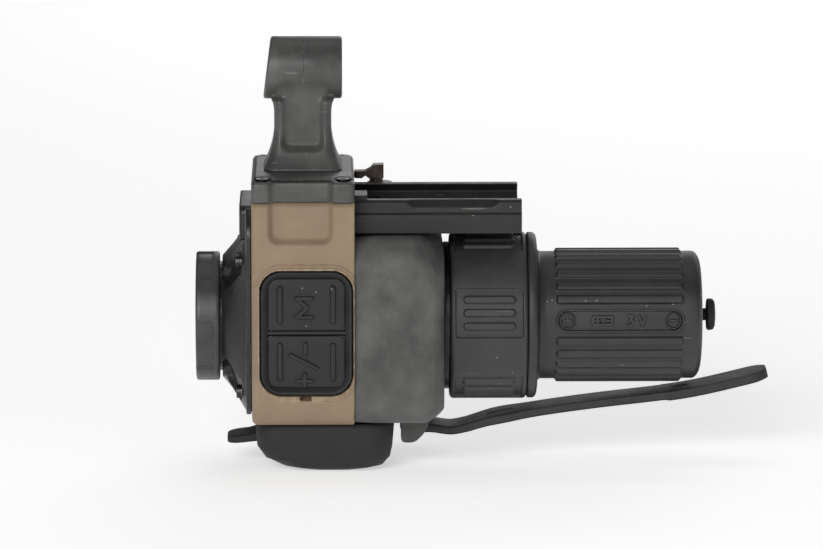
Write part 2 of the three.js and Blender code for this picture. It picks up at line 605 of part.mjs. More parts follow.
// A disc on the neck's floor with a stud that touches the cell's cap.
function positiveContact() {
  const floor = rearBack + 2 * seam + neck.floor;
  return union(rod(floor, floor + 0.6, contact.radius, 20), rod(floor + 0.5, cellFront - seam, contact.stud,
    16));
}

// ---------------------------------------------------------------- projector arm

function armBase() {
  const { plateChamfer, plateChamferWidth, boreRadius } = arm;
  const half = housing.halfWidth;
  const outline = (z, insetX, insetY) => roundedOutline(housingFront + insetX, housingBack - insetX,
    -half + insetY,
    half - insetY, 0.8, 0.8, 2, (x, y) => new THREE.Vector3(x, y, z));
  const plate = loft([outline(armBaseBottom, 0, 0), outline(plateTop - plateChamfer, 0, 0),
    outline(plateTop, 0.6, plateChamferWidth)]);
  const lightPath = bar('z', [housingMid, 0, 0], armBaseBottom - 1, plateTop + 1, boreRadius, 20);
  const screwSeats = armScrews().map(([x, y]) => union(
    bar('z', [x, y, 0], armScrewZ, plateTop + 2, screwSize.headRadius + 0.25, 14),
    bar('z', [x, y, 0], armBaseBottom - 1, plateTop, screwSize.shankRadius + seam, 10),
  ));
  return cut(plate, thumbRecessCut(), lightPath, ...screwSeats);
}

const armScrewZ = plateTop - arm.plateChamfer - 0.4;

function armScrews() {
  const dx = housing.length / 2 - arm.screwInsetX;
  const dy = housing.halfWidth - arm.screwInsetY;
  return [[-dx, -dy], [dx, -dy], [-dx, dy], [dx, dy]].map(([x, y]) => [housingMid + x, y]);
}

// The neck's half widths at the heights where its outline changes, foot first.
function neckRows() {
  const { footHalfX, footHalfY, neckHalfX, neckHalfY, neckHeight } = arm;
  const start = plateTop + seam;
  const flare = neckHeight - 2.3;
  const rows = [0, 0.12, 0.25, 0.4, 0.6, 0.8, 1].map((t) => {
    const fall = (1 - t) ** 2;
    return [start + flare * t, neckHalfX + (footHalfX - neckHalfX) * fall,
      neckHalfY + (footHalfY - neckHalfY) * fall];
  });
  const underBarrel = barrelAxis - arm.barrelRadius - 0.6;
  const throat = underBarrel - 4;
  [0, 0.35, 0.7, 1].forEach((t) => {
    rows.push([throat + 4 * t, neckHalfX + 1.5 * (1 - Math.sqrt(1 - (t * 0.98) ** 2)), neckHalfY]);
  });
  rows.push([barrelAxis, neckHalfX + 1, neckHalfY]);
  return rows;
}

function projectorArm() {
  const { barrelRadius, barrelFront, barrelBack, barrelSlant, boreRadius, windowRadius } = arm;
  const mid = housingMid;
  const neckSolid = loft(neckRows().map(([z, hx, hy]) => roundedOutline(mid - hx, mid + hx, -hy, hy, 1.6,
    1.6, 3,
    (x, y) => new THREE.Vector3(x, y, z))));
  const barrel = bar('x', [0, 0, barrelAxis], mid - barrelFront, mid + barrelBack, barrelRadius, 36);
  const [low, high] = [barrelAxis - barrelRadius - 0.01, barrelAxis + barrelRadius + 1];
  const slant = prism('y', polygon([[low, mid - barrelFront], [high, mid - barrelFront + barrelSlant],
    [high, mid - barrelFront - 3], [low, mid - barrelFront - 3]]), -barrelRadius - 3, barrelRadius + 3);
  const lightPath = bar('z', [mid, 0, 0], plateTop - 1, barrelAxis, boreRadius, 20);
  const window = bar('x', [0, 0, barrelAxis], mid - 3.9, mid + barrelBack + 1, windowRadius, 28);
  return cut(union(cut(neckSolid, ...neckPockets()), barrel), slant, lightPath, window);
}

// A shallow rounded pocket in the near and the far face of the neck.
function neckPockets() {
  const { neckHalfY, pocketHalf, pocketDepth, pocketRise, pocketHeight } = arm;
  const bottom = plateTop + pocketRise;
  const shape = roundedRectangle(bottom, bottom + pocketHeight, housingMid - pocketHalf,
    housingMid + pocketHalf, 1.2);
  const floor = neckHalfY - pocketDepth;
  return [prism('y', shape, floor, neckHalfY + 4), prism('y', shape, -neckHalfY - 4, -floor)];
}

function foldMirror() {
  const half = 2.6;
  const [low, high] = [barrelAxis - half, barrelAxis + half];
  const shape = polygon([[low, housingMid - 3.6], [high, housingMid - 3.6], [low, housingMid + 1.6]]);
  return prism('y', shape, -half, half);
}

function projectorWindow() {
  const back = housingMid + arm.barrelBack - 0.5;
  return bar('x', [0, 0, barrelAxis], back - 1.1, back, arm.windowRadius - seam, 28);
}

const relayLens = () => bar('z', [housingMid, 0, 0], plateTop + 3, plateTop + 5.2, arm.boreRadius - seam, 20);

// ---------------------------------------------------------------- rail clamp

const clampScrewZ = seatZ - clamp.headSink - screwSize.headHeight;
const clampScrews = () => [0.28, 0.44].map((share) => clampFront + share * clamp.length);

const jawFloor = seatZ - clamp.jawStep;
const boltStart = -clamp.halfWidth + 1.36;

// The floor and the fixed near jaw, with a stop at the front of the channel and a slot for the bolt.
function clampBase() {
  const { halfWidth, railHalfTop, railHalfWide, railRise, lipHalf, edge, stopLength, stopRise,
    stopWidth } = clamp;
  const jawOuter = -halfWidth + edge;
  const section = polygon([[-halfWidth, clampBottom], [halfWidth - 0.2, clampBottom],
    [halfWidth - 0.2, jawFloor],
    [railHalfTop, jawFloor], [railHalfTop, seatZ], [-railHalfTop, seatZ], [-railHalfWide, seatZ + railRise],
    [-lipHalf, clampTop], [jawOuter + edge, clampTop], [jawOuter, clampTop - edge], [jawOuter,
      clampTop - 2.1], [-halfWidth, clampTop - 2.5]]);
  const body = prism('x', section, clampFront, -clampFront);
  const stop = box(clampFront, clampFront + stopLength, -lipHalf - 0.2, stopWidth - lipHalf,
    clampBottom + 0.5,
    seatZ + stopRise);
  const boltHole = bar('y', [lever.pivotX, 0, boltZ], boltStart - seam, -railHalfTop + 2,
    bolt.radius + seam, 16);
  const boltSlot = box(lever.pivotX - bolt.slotHalf, lever.pivotX + bolt.slotHalf, -railHalfTop, halfWidth,
    boltZ - bolt.radius - seam * 2, seatZ + 1);
  const screwSeats = clampScrews().map((x) => union(
    bar('z', [x, 0, 0], clampScrewZ - seam, seatZ + 1, screwSize.headRadius + seam, 14),
    bar('z', [x, 0, 0], clampBottom - 1, seatZ, screwSize.shankRadius + seam, 10),
  ));
  return cut(union(body, stop), boltHole, boltSlot, ...screwSeats);
}

function clampJaw() {
  const { halfWidth, railHalfTop, railHalfWide, railRise, lipHalf, edge } = clamp;
  const section = polygon([[railHalfTop + 0.1, jawFloor + 0.1], [halfWidth, jawFloor + 0.1],
    [halfWidth, clampTop - edge],
    [halfWidth - edge, clampTop], [lipHalf, clampTop], [railHalfWide, seatZ + railRise]]);
  const boltHole = bar('y', [lever.pivotX, 0, boltZ], railHalfTop - 3, halfWidth + 3, bolt.radius + air, 16);
  return cut(prism('x', section, clampFront + air, -clampFront), boltHole);
}

// The cross bolt ends in a flat eye that holds the lever's pin.
function crossBolt() {
  const { pivotX, eyeRadius, eyeThick, pinRadius } = lever;
  const shaft = bar('y', [pivotX, 0, boltZ], boltStart, pivotY - 1.2, bolt.radius, 16);
  const eye = bar('z', [pivotX, pivotY, 0], boltZ - eyeThick / 2, boltZ + eyeThick / 2, eyeRadius, 18);
  return cut(union(shaft, eye), bar('z', [pivotX, pivotY, 0], boltZ - 3, boltZ + 3, pinRadius + seam, 12));
}

const lobeTop = boltZ - lever.eyeThick / 2 - air;
const lobeBottom = lobeTop - lever.lobe;

// A cam lever that turns on the bolt's pin. Its head stands above the jaw, with a horn for the thumb.
function releaseLever() {
  const { pivotX, hubRadius, camX, camY, pinRadius, eyeRadius, eyeThick, armLength, armThick } = lever;
  const upperBottom = boltZ + eyeThick / 2 + air;
  const hub = [pivotX + camX, pivotY + camY, 0];
  const lobes = union(bar('z', hub, lobeBottom, lobeTop, hubRadius, 22),
    bar('z', hub, upperBottom, clampTop - 0.3, hubRadius, 22));
  const armShape = roundedRectangle(pivotX + eyeRadius - 0.3, pivotX + armLength, pivotY - armThick / 2,
    pivotY + armThick / 2, 1);
  const armBar = prism('z', armShape, lobeBottom, clampTop - 0.8);
  const stem = bar('z', [pivotX, pivotY, 0], clampTop - 0.4, clampTop + 0.5, 1.2, 14);
  const pinHole = bar('z', [pivotX, pivotY, 0], lobeBottom - 1, clampTop - 0.8, pinRadius + seam, 12);
  const eyeSlot = bar('z', [pivotX, pivotY, 0], lobeTop, upperBottom, eyeRadius + air, 20);
  return cut(union(lobes, armBar, stem, leverHead()), pinHole, eyeSlot);
}

function leverHead() {
  const { pivotX, headRise, hornRise } = lever;
  const base = clampTop + 0.35;
  const [top, horn] = [clampTop + headRise, clampTop + hornRise];
  const shape = polygon([[base, pivotX - 4], [base, pivotX - 2.5], [base + 0.45, pivotX - 1.9],
    [base, pivotX - 1.3],
    [base, pivotX + 1.3], [horn, pivotX + 1.3], [horn - 0.1, pivotX - 0.5], [top + 0.5, pivotX - 0.9],
    [top, pivotX - 1.9], [top, pivotX - 4]]);
  const swing = bar('z', [pivotX, pivotY, 0], clampTop, horn + 1, pivotX - housingBack - air / 2, 28);
  return prism('y', shape, pivotY - 1.5, pivotY + 1.2).intersect(swing);
}

const leverPin = () => bar('z', [lever.pivotX, pivotY, 0], lobeBottom + 0.1, clampTop - 0.9,
  lever.pinRadius, 12);

// ---------------------------------------------------------------- underside: port, cover, strap

function portConnector() {
  const { halfX, halfY, drop } = port;
  const inside = undersideZ + housing.wall;
  return union(
    box(housingMid - halfX, housingMid + halfX, -halfY, halfY, undersideZ - drop, inside + 1),
    box(housingMid - halfX - 1, housingMid + halfX + 1, -halfY - 1, halfY + 1, inside + seam, inside + 1.2),
  );
}

// A rubber cap over the port, hollow inside, with a pull tab on its front edge.
function portCover() {
  const { overhangFront, backX, halfDepth, drop, wall, tabLength, tabHalf, tabThick } = cover;
  const frontX = housingFront + overhangFront;
  const top = undersideZ - air;
  const row = (share, front, back, side, round) => roundedOutline(frontX + front, backX - back,
    -halfDepth + side,
    halfDepth - side, round, round, 4, (x, y) => new THREE.Vector3(x, y, top - share * drop));
  const shell = loft([row(0, 0, 0, 0, 4.5), row(0.5, 0.3, 0.3, 0, 4.5), row(0.74, 1.7, 0.7, 0.3, 4.5),
    row(0.9, 4.4, 1.8, 1, 4.5), row(0.98, 7, 4, 2.2, 4), row(1, 9, 6.5, 4, 3)]);
  const inside = loft([row(-0.1, wall, wall, wall, 3.4), row(0.5, wall + 0.3, wall + 0.3, wall, 3.4),
    row(0.8, wall + 4.2, wall + 2.6, wall + 1.6, 3)]);
  const tip = frontX - tabLength;
  const tabTop = top - 3.1;
  const side = polygon([[tabTop + 0.9, frontX + 0.6], [tabTop + 0.9, frontX - 0.1], [tabTop, frontX - 0.5],
    [tabTop - 0.5, tip], [tabTop - 0.5 - tabThick, tip], [tabTop - 0.6 - tabThick, frontX + 1]]);
  const plan = prism('z', roundedRectangle(tip, frontX + 4, -tabHalf, tabHalf, 2.2), top - drop, top);
  return cut(union(shell, prism('y', side, -tabHalf, tabHalf).intersect(plan)), inside);
}

// Centreline of the strap, as steps in X and Z away from its pin, from its eye to its free end.
const strapRoute = [[0, 0], [2.9, 0.05], [6.2, -0.35], [8.9, 0.1], [10.9, 0.7], [13.2, 1.35], [17, 2.1],
  [23.4, 3.15],
  [32, 4.3], [42.4, 5.5], [49, 6.55], [56.2, 8.2], [60.9, 9.4]];

function retentionStrap() {
  const { halfWidth, thick, eyeRadius, pinRadius, slotX, slotHalfLength, slotHalfWidth, postHole,
    holeX } = strap;
  const [pinX, , pinZ] = strapPivot;
  const curve = new THREE.CatmullRomCurve3(strapRoute.map(([x, z]) => new THREE.Vector3(pinX + x, 0,
    pinZ + z)));
  const steps = 36;
  const rows = Array.from({ length: steps + 1 }, (_, i) => {
    const p = curve.getPointAt(i / steps);
    const t = curve.getTangentAt(i / steps);
    const up = new THREE.Vector3(-t.z, 0, t.x);
    const bulge = 0.9 * Math.exp(-(((p.x - slotX) / 3.2) ** 2));
    const width = halfWidth + bulge - (i === steps ? 1.2 : 0);
    const low = -thick / 2 - (p.x > holeX - 2.5 ? 0.2 : 0);
    const corner = (y, h) => p.clone().addScaledVector(up, h).add(new THREE.Vector3(0, y, 0));
    return [corner(-width, low), corner(width, low), corner(width, thick / 2), corner(-width, thick / 2)];
  });
  const eye = bar('y', strapPivot, -halfWidth, halfWidth, eyeRadius, 18);
  const slotShape = roundedRectangle(slotX - slotHalfLength, slotX + slotHalfLength, -slotHalfWidth,
    slotHalfWidth,
    slotHalfWidth - 0.01);
  const [low, high] = [pinZ - 3, pinZ + 12];
  return cut(union(loft(rows), eye), bar('y', strapPivot, -20, 20, pinRadius + 0.1, 14),
    prism('z', slotShape, low, high), bar('z', [holeX, 0, 0], low, high, postHole, 14));
}

// ---------------------------------------------------------------- electronics

// A block on the optical axis: a station, its thickness, and its half sizes across.
const block = (x, thick, halfY, halfZ, lift = 0) => box(x, x + thick, -halfY, halfY, -halfZ + lift,
  halfZ + lift);

const shutterX = gasketEnd + 0.3;
const sensorX = shutterX + 1;
const sensorBoardX = sensorX + 2;
const mainBoardX = housingBack + 2.4;

const shutter = () => cut(block(shutterX, 0.8, 8.2, 7.6), rod(shutterX - 1, shutterX + 2, 5.2, 24));
const thermalSensor = () => block(sensorX, 1.94, 6.5, 6.5);
const sensorBoard = () => block(sensorBoardX, 1.2, 12, 11);
const mainBoard = () => block(mainBoardX, 1.2, 13.5, 12, -0.5);
const processor = () => block(mainBoardX + 1.26, 1.5, 6, 6, 1);

const displayModule = () => box(housingMid - 4.6, housingMid + 4.6, -6, 6, housingAbove - 4.2,
  housingAbove - 0.3);

// A flat cable that runs from under the display down towards the boards.
function displayCable() {
  const [x, top, low] = [housingMid, housingAbove - 4.4, housingAbove - 11.5];
  const shape = polygon([[top, x - 1], [top, x + 4], [low, x + 4], [low, x + 3.5], [top - 0.6, x + 3.5],
    [top - 0.6, x - 1]]);
  return prism('y', shape, -4, 4);
}

// ---------------------------------------------------------------- assembly

add('main_housing', mainHousing(), finishes.tan);
add('front_housing', frontHousing(), finishes.blackShell);
add('front_gasket', frontGasket(), finishes.rubber);
add('rear_housing', rearHousing(), finishes.blackShell);
add('lens_barrel', lensBarrel(), finishes.anodised);
flangeScrews.forEach(([y, z], i) => {
  const mesh = add(`front_screw_${i + 1}`, screw(4), finishes.blackSteel);
  mesh.rotation.y = -Math.PI / 2;
  mesh.position.set(plateFront - flange.screwFloor - seam, y, z);
});

const focusGroup = new THREE.Group();
camera.add(focusGroup);
add('focus_ring', focusRing(), finishes.anodised, focusGroup);
add('lens_cell', lensCell(), finishes.anodised, focusGroup);
add('objective_lens', objectiveLens(), finishes.germanium, focusGroup);

add('keypad_frame', keypadFrame(), finishes.rubber);
add('key_menu', key(1), finishes.rubber);
add('key_adjust', key(-1), finishes.rubber);
add('keypad_board', keypadBoard(), finishes.board);
add('key_dome_1', keyDome(1), finishes.steel);
add('key_dome_2', keyDome(-1), finishes.steel);

add('battery_neck', batteryNeck(), finishes.anodised);
add('positive_contact', positiveContact(), finishes.gold);
add('lock_collar', lockCollar(), finishes.rubber);
const powerGroup = new THREE.Group();
camera.add(powerGroup);
add('battery_tube', batteryTube(), finishes.grip, powerGroup);
add('battery_cell', batteryCell(), finishes.jacket, powerGroup);
add('contact_spring', contactSpring(), finishes.steel, powerGroup);
add('strap_post', strapPost(), finishes.rubber, powerGroup);

add('arm_base', armBase(), finishes.castGrey);
add('projector_arm', projectorArm(), finishes.castGrey);
armScrews().forEach(([x, y], i) => {
  const mesh = add(`arm_screw_${i + 1}`, screw(3), finishes.blackSteel);
  mesh.position.set(x, y, armScrewZ + seam);
});
add('fold_mirror', foldMirror(), finishes.glass);
add('projector_window', projectorWindow(), finishes.glass);
add('relay_lens', relayLens(), finishes.glass);
add('display_module', displayModule(), finishes.chip);
add('display_cable', displayCable(), finishes.gold);

const clampGroup = new THREE.Group();
camera.add(clampGroup);
add('clamp_base', clampBase(), finishes.anodised, clampGroup);
add('clamp_jaw', clampJaw(), finishes.anodised, clampGroup);
add('cross_bolt', crossBolt(), finishes.steel, clampGroup);
add('release_lever', releaseLever(), finishes.bronze, clampGroup);
add('lever_pin', leverPin(), finishes.steel, clampGroup);
clampScrews().forEach((x, i) => {
  const mesh = add(`clamp_screw_${i + 1}`, screw(2.3), finishes.blackSteel, clampGroup);
  mesh.position.set(x, 0, clampScrewZ);
});

add('port_connector', portConnector(), finishes.chip);
add('port_cover', portCover(), finishes.rubber);
add('retention_strap', retentionStrap(), finishes.rubber);
add('strap_pin', strapPin(), finishes.blackSteel);

add('main_board', mainBoard(), finishes.board);
add('processor', processor(), finishes.chip);
add('sensor_board', sensorBoard(), finishes.board);
add('thermal_sensor', thermalSensor(), finishes.chip);
add('shutter', shutter(), finishes.chip);

export default camera;
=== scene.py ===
import json
import math
import bmesh
import bpy
import numpy as np
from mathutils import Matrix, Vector


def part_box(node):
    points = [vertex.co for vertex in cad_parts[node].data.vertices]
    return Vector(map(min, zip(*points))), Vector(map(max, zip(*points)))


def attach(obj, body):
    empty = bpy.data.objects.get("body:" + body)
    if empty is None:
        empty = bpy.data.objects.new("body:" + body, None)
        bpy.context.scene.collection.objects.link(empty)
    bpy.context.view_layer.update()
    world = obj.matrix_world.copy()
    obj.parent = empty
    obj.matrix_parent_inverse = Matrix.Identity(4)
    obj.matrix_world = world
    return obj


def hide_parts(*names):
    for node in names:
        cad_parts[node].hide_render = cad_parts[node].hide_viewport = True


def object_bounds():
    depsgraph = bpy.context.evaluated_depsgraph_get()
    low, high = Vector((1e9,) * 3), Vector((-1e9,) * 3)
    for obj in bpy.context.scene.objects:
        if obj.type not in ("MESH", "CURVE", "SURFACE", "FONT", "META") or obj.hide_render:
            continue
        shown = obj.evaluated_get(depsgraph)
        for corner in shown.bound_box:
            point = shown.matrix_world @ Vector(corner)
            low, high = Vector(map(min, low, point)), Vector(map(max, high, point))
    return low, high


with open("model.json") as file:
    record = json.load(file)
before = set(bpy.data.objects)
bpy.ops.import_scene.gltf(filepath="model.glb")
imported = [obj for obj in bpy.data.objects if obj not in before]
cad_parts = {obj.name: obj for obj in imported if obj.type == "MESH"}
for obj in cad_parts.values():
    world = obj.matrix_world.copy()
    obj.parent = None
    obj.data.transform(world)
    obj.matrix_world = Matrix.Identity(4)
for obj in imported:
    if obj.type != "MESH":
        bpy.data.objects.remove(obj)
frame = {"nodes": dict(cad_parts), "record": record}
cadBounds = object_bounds()
record = frame["record"]
slotOf = {row["node"]: row["material_slot"] for row in record["subparts"]}
bodyOf = {node: body for body, nodes in record["behaviour"]["bodies"].items() for node in nodes}
lensLow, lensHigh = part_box("objective_lens")
axisHeight = 500 * (lensLow[2] + lensHigh[2])  # mm, the optical axis above the clamp's seat

# Shapes are worked out in mm about the optical axis: x along it, y away from the keys, z up.


def span(node):
    # lowest and highest corner of a CAD node, in mm about the optical axis
    shift = np.array([0, 0, axisHeight])
    low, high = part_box(node)
    return np.array(low) * 1000 - shift, np.array(high) * 1000 - shift


# ---- camera, lights and floor
view = dict(turn=-1.0, rise=8.5, distance=1.0, lens=253.7, aimX=-12.26, aimZ=-4.44)


def setCamera():
    # a long lens that looks at the aim from slightly above; gives back the aim
    low, high = [np.array(corner) for corner in cadBounds]
    middle = (low + high) / 2
    aim = Vector((middle[0] + view["aimX"] / 1000, 0, middle[2] + view["aimZ"] / 1000))
    turn, rise = math.radians(view["turn"]), math.radians(view["rise"])
    away = Vector((math.sin(turn) * math.cos(rise), -math.cos(turn) * math.cos(rise), math.sin(rise)))
    data = bpy.data.cameras.new("camera")
    data.lens = view["lens"]
    data.sensor_width = 36
    data.clip_start = 0.05
    camera = bpy.data.objects.new("camera", data)
    bpy.context.scene.collection.objects.link(camera)
    camera.location = aim + away * view["distance"]
    camera.rotation_euler = (-away).to_track_quat("-Z", "Y").to_euler()
    bpy.context.scene.camera = camera
    return aim


roomLight = 0.13
floorGlow = 0.5

# each light: place from the aim in m, width and height in m, power in W
lights = dict(
    keyLight=((-0.35, -0.95, 0.4), 0.6, 0.3, 6.3),
    fillLight=((0.75, -0.8, 0.1), 0.5, 0.6, 1.6),
    topLight=((0.1, 0.25, 0.95), 0.7, 0.5, 0.9),
    rimLight=((0.3, 0.9, 0.4), 0.8, 0.4, 2),
)


def setLights(aim):
    # the rectangular lamps above, and an even white room
    for name, (place, width, height, power) in lights.items():
        data = bpy.data.lights.new(name, "AREA")
        data.shape = "RECTANGLE"
        data.size, data.size_y, data.energy = width, height, power
        lamp = bpy.data.objects.new(name, data)
        bpy.context.scene.collection.objects.link(lamp)
        lamp.location = aim + Vector(place)
        lamp.rotation_euler = (-Vector(place)).to_track_quat("-Z", "Y").to_euler()
    world = bpy.data.worlds.new("softRoom")
    world.use_nodes = True
    room = world.node_tree.nodes["Background"]
    room.inputs[0].default_value = (1, 1, 1, 1)
    room.inputs[1].default_value = roomLight
    bpy.context.scene.world = world
    bpy.context.scene.view_settings.view_transform = "Standard"


# ---- node materials
def linear(hexColour):
    # sRGB hex to a linear colour
    parts = [int(hexColour[i:i + 2], 16) / 255 for i in (1, 3, 5)]
    return [c / 12.92 if c <= 0.04045 else ((c + 0.055) / 1.055) ** 2.4 for c in parts] + [1]


def addNode(tree, kind, settings=(), links=()):
    # a node, with its own properties or socket values set and its inputs joined to other nodes' outputs
    node = tree.nodes.new(kind)
    for key, value in dict(settings).items():
        if isinstance(key, str) and hasattr(node, key):
            setattr(node, key, value)
        else:
            node.inputs[key].default_value = value
    for key, socket in dict(links).items():
        tree.links.new(socket, node.inputs[key])
    return node


def mixColour(tree, factor, under, over):
    # over laid on under by the factor; under is a hex colour or another node's output
    node = addNode(tree, "ShaderNodeMix", {"data_type": "RGBA", 7: linear(over)}, {0: factor})
    if isinstance(under, str):
        node.inputs[6].default_value = linear(under)
    else:
        tree.links.new(under, node.inputs[6])
    return node.outputs[2]


# What each finish is, in words and numbers. Sizes are in mm.
finishes = dict(
    # glass-filled nylon, spark-eroded mould: dead matt tan with a fine even grain and faint flow clouds; its
    # pale edge colour is edge wear and painted highlight along the lip and ridges
    tanNylon=dict(base="#927e67", shade="#88755f", cloud=6, grain=0.22, grainHeight=0.02, rough=(0.62, 0.74),
                  specks=("#d8d0c2", 5, 0.09, 0.8), edgeWearAndHighlight=("#c4b499", 0.4, 0.9)),
    # glass-filled nylon dyed charcoal: cloudy grey patches where it has been handled
    charcoalNylon=dict(base="#5c5c5a", shade="#3e3e3d", cloud=8.5, grain=0.25, grainHeight=0.022,
                       rough=(0.5, 0.66), specks=("#a9a9a4", 5, 0.1, 0.75), edgeWearAndHighlight=("#73736f", 0.2, 0.5)),
    # aluminium, turned and black anodised: satin with fine tool rings; its pale edge colour is worn metal and
    # painted highlight on the cone's edges
    anodisedAluminium=dict(base="#303031", shade="#262627", cloud=5, grain=0.18, grainHeight=0.008,
                           rough=(0.3, 0.44), metallic=0.35, rings=0.22,
                           specks=("#a5a5a1", 2.5, 0.09, 0.65), edgeWearAndHighlight=("#8b8a86", 0.22, 0.95)),
    # the same aluminium, turned to a closer finish and left a greyer black, for the focus ring
    turnedAluminium=dict(base="#4a4a49", shade="#3c3c3c", cloud=4, grain=0.18, grainHeight=0.008,
                         rough=(0.34, 0.5), metallic=0.3, rings=0.3, specks=("#a9a9a5", 3, 0.09, 0.6),
                         edgeWearAndHighlight=("#9b9a95", 0.2, 0.8)),
    # black steel screws whose rims are rubbed by the driver, their pale rim colour also painted highlight
    rubbedHighlitSteel=dict(base="#48484a", shade="#2c2c2d", cloud=1, grain=0.1, grainHeight=0.004,
                     rough=(0.2, 0.35), metallic=0.85, edgeWearAndHighlight=("#b4b3ae", 0.12, 0.9)),
    # die-cast alloy under sprayed grey paint: soft sheen, slight orange peel, rubbed edges
    paintedAlloy=dict(base="#565654", shade="#414140", cloud=7, grain=0.45, grainHeight=0.02,
                      rough=(0.38, 0.52), metallic=0.1, specks=("#b0b0ab", 2.5, 0.09, 0.66),
                      scratches=("#868682", 0.4), edgeWearAndHighlight=("#8d8b86", 0.26, 0.8)),
    # aluminium extrusion, milled and hard anodised: nearly black, with bright nicks on its edges
    hardAnodised=dict(base="#292928", shade="#212121", cloud=5, grain=0.16, grainHeight=0.006,
                      rough=(0.42, 0.58), metallic=0.3, scratches=("#77756f", 0.5),
                      specks=("#b5b5b0", 2, 0.1, 0.64), edgeWearAndHighlight=("#8f8d87", 0.16, 0.6)),
    # silicone rubber, compression moulded: matt black that holds white dust
    siliconeRubber=dict(base="#2c2c2c", shade="#242424", cloud=4, specular=0.35, grain=0.16,
                        grainHeight=0.012, rough=(0.62, 0.78), specks=("#c9c9c4", 3.2, 0.09, 0.7)),
    # silicone rubber of the keys: edges of the keys, bars and raised marks painted paler as sheen where
    # fingers polish them
    keyRubber=dict(base="#292a2b", shade="#222324", cloud=4, specular=0.35, grain=0.14, grainHeight=0.01,
                   rough=(0.5, 0.62), specks=("#d6d6d2", 1.8, 0.1, 0.6), edgeWearAndHighlight=("#5a5b5c", 0.2, 0.5)),
    # polyamide grip, moulded and lightly spark-eroded: dark grey satin
    gripPolyamide=dict(base="#373736", shade="#2f2f2e", cloud=6, grain=0.2, grainHeight=0.014,
                       rough=(0.46, 0.6), specks=("#c0c0bc", 1.9, 0.1, 0.62), scratches=("#6f6f6b", 0.35),
                       edgeWearAndHighlight=("#63635f", 0.2, 0.6)),
    # the same polyamide moulded as the battery tube, a shade darker and smoother
    tubePolyamide=dict(base="#303030", shade="#282828", cloud=5, grain=0.2, grainHeight=0.01,
                       rough=(0.42, 0.56), specks=("#c9c9c5", 1.7, 0.11, 0.6), scratches=("#6f6f6b", 0.4),
                       edgeWearAndHighlight=("#5c5c59", 0.2, 0.7)),
    # thermoplastic rubber strap: greyer, waxy and matt, with dust along it
    strapRubber=dict(base="#353534", shade="#2c2b2b", cloud=4, specular=0.4, grain=0.22, grainHeight=0.014,
                     rough=(0.56, 0.7), specks=("#b9b8b3", 3.5, 0.09, 0.72)),
    # stainless steel, brushed: bright with fine lines
    brushedSteel=dict(base="#9a9a97", shade="#868683", cloud=3, grain=0.1, grainHeight=0.004,
                      rough=(0.25, 0.4), metallic=1),
    # steel, black oxide: oily black screw heads
    blackOxideSteel=dict(base="#161617", shade="#101011", cloud=1, grain=0.1, grainHeight=0.005,
                         rough=(0.28, 0.4), metallic=0.6, edgeWearAndHighlight=("#77756f", 0.1, 0.5)),
    # aluminium lever, bronze anodised: brown satin worn pale on its corners
    bronzeAnodised=dict(base="#5a4f47", shade="#453d37", cloud=2, grain=0.12, grainHeight=0.006,
                        rough=(0.32, 0.48), metallic=0.55, edgeWearAndHighlight=("#b0a695", 0.16, 0.8)),
    # germanium, polished and coated: a dark metallic mirror with a violet-blue bloom
    coatedGermanium=dict(base="#3f4250", shade="#343542", cloud=9, grain=0.6, grainHeight=0.0005,
                         rough=(0.05, 0.09), metallic=0.9, coat=0.5),
    # optical glass, coated: nearly black from outside
    coatedGlass=dict(base="#16222a", shade="#101a24", cloud=4, grain=0.6, grainHeight=0.0005,
                     rough=(0.03, 0.07), coat=0.8),
    # fibreglass board under green solder mask
    solderMask=dict(base="#1f5a36", shade="#18482b", cloud=2, grain=0.3, grainHeight=0.01, rough=(0.35, 0.5)),
    # brass, gold plated
    goldPlate=dict(base="#c9a24a", shade="#b58f3e", cloud=1.5, grain=0.1, grainHeight=0.003,
                   rough=(0.2, 0.34), metallic=1),
    # printed film wrapped on a battery cell
    cellFilm=dict(base="#c2c5c8", shade="#aeb2b6", cloud=4, grain=0.3, grainHeight=0.004, rough=(0.3, 0.42)),
    # epoxy moulded over electronic parts
    mouldedEpoxy=dict(base="#242424", shade="#1c1c1c", cloud=1.5, grain=0.1, grainHeight=0.01,
                      rough=(0.5, 0.65)),
)
finishOfSlot = dict(tan_shell="tanNylon", black_shell="charcoalNylon", cone_black="anodisedAluminium",
                    arm_grey="paintedAlloy", anodised_black="anodisedAluminium", rail_black="hardAnodised",
                    rubber_black="siliconeRubber", key_rubber="keyRubber", collar_grip="gripPolyamide",
                    tube_grip="tubePolyamide", strap_rubber="strapRubber", steel="brushedSteel",
                    black_steel="blackOxideSteel", bronze_lever="bronzeAnodised",
                    germanium="coatedGermanium", window_glass="coatedGlass", circuit_board="solderMask",
                    gold_contact="goldPlate", cell_jacket="cellFilm", chip_black="mouldedEpoxy")


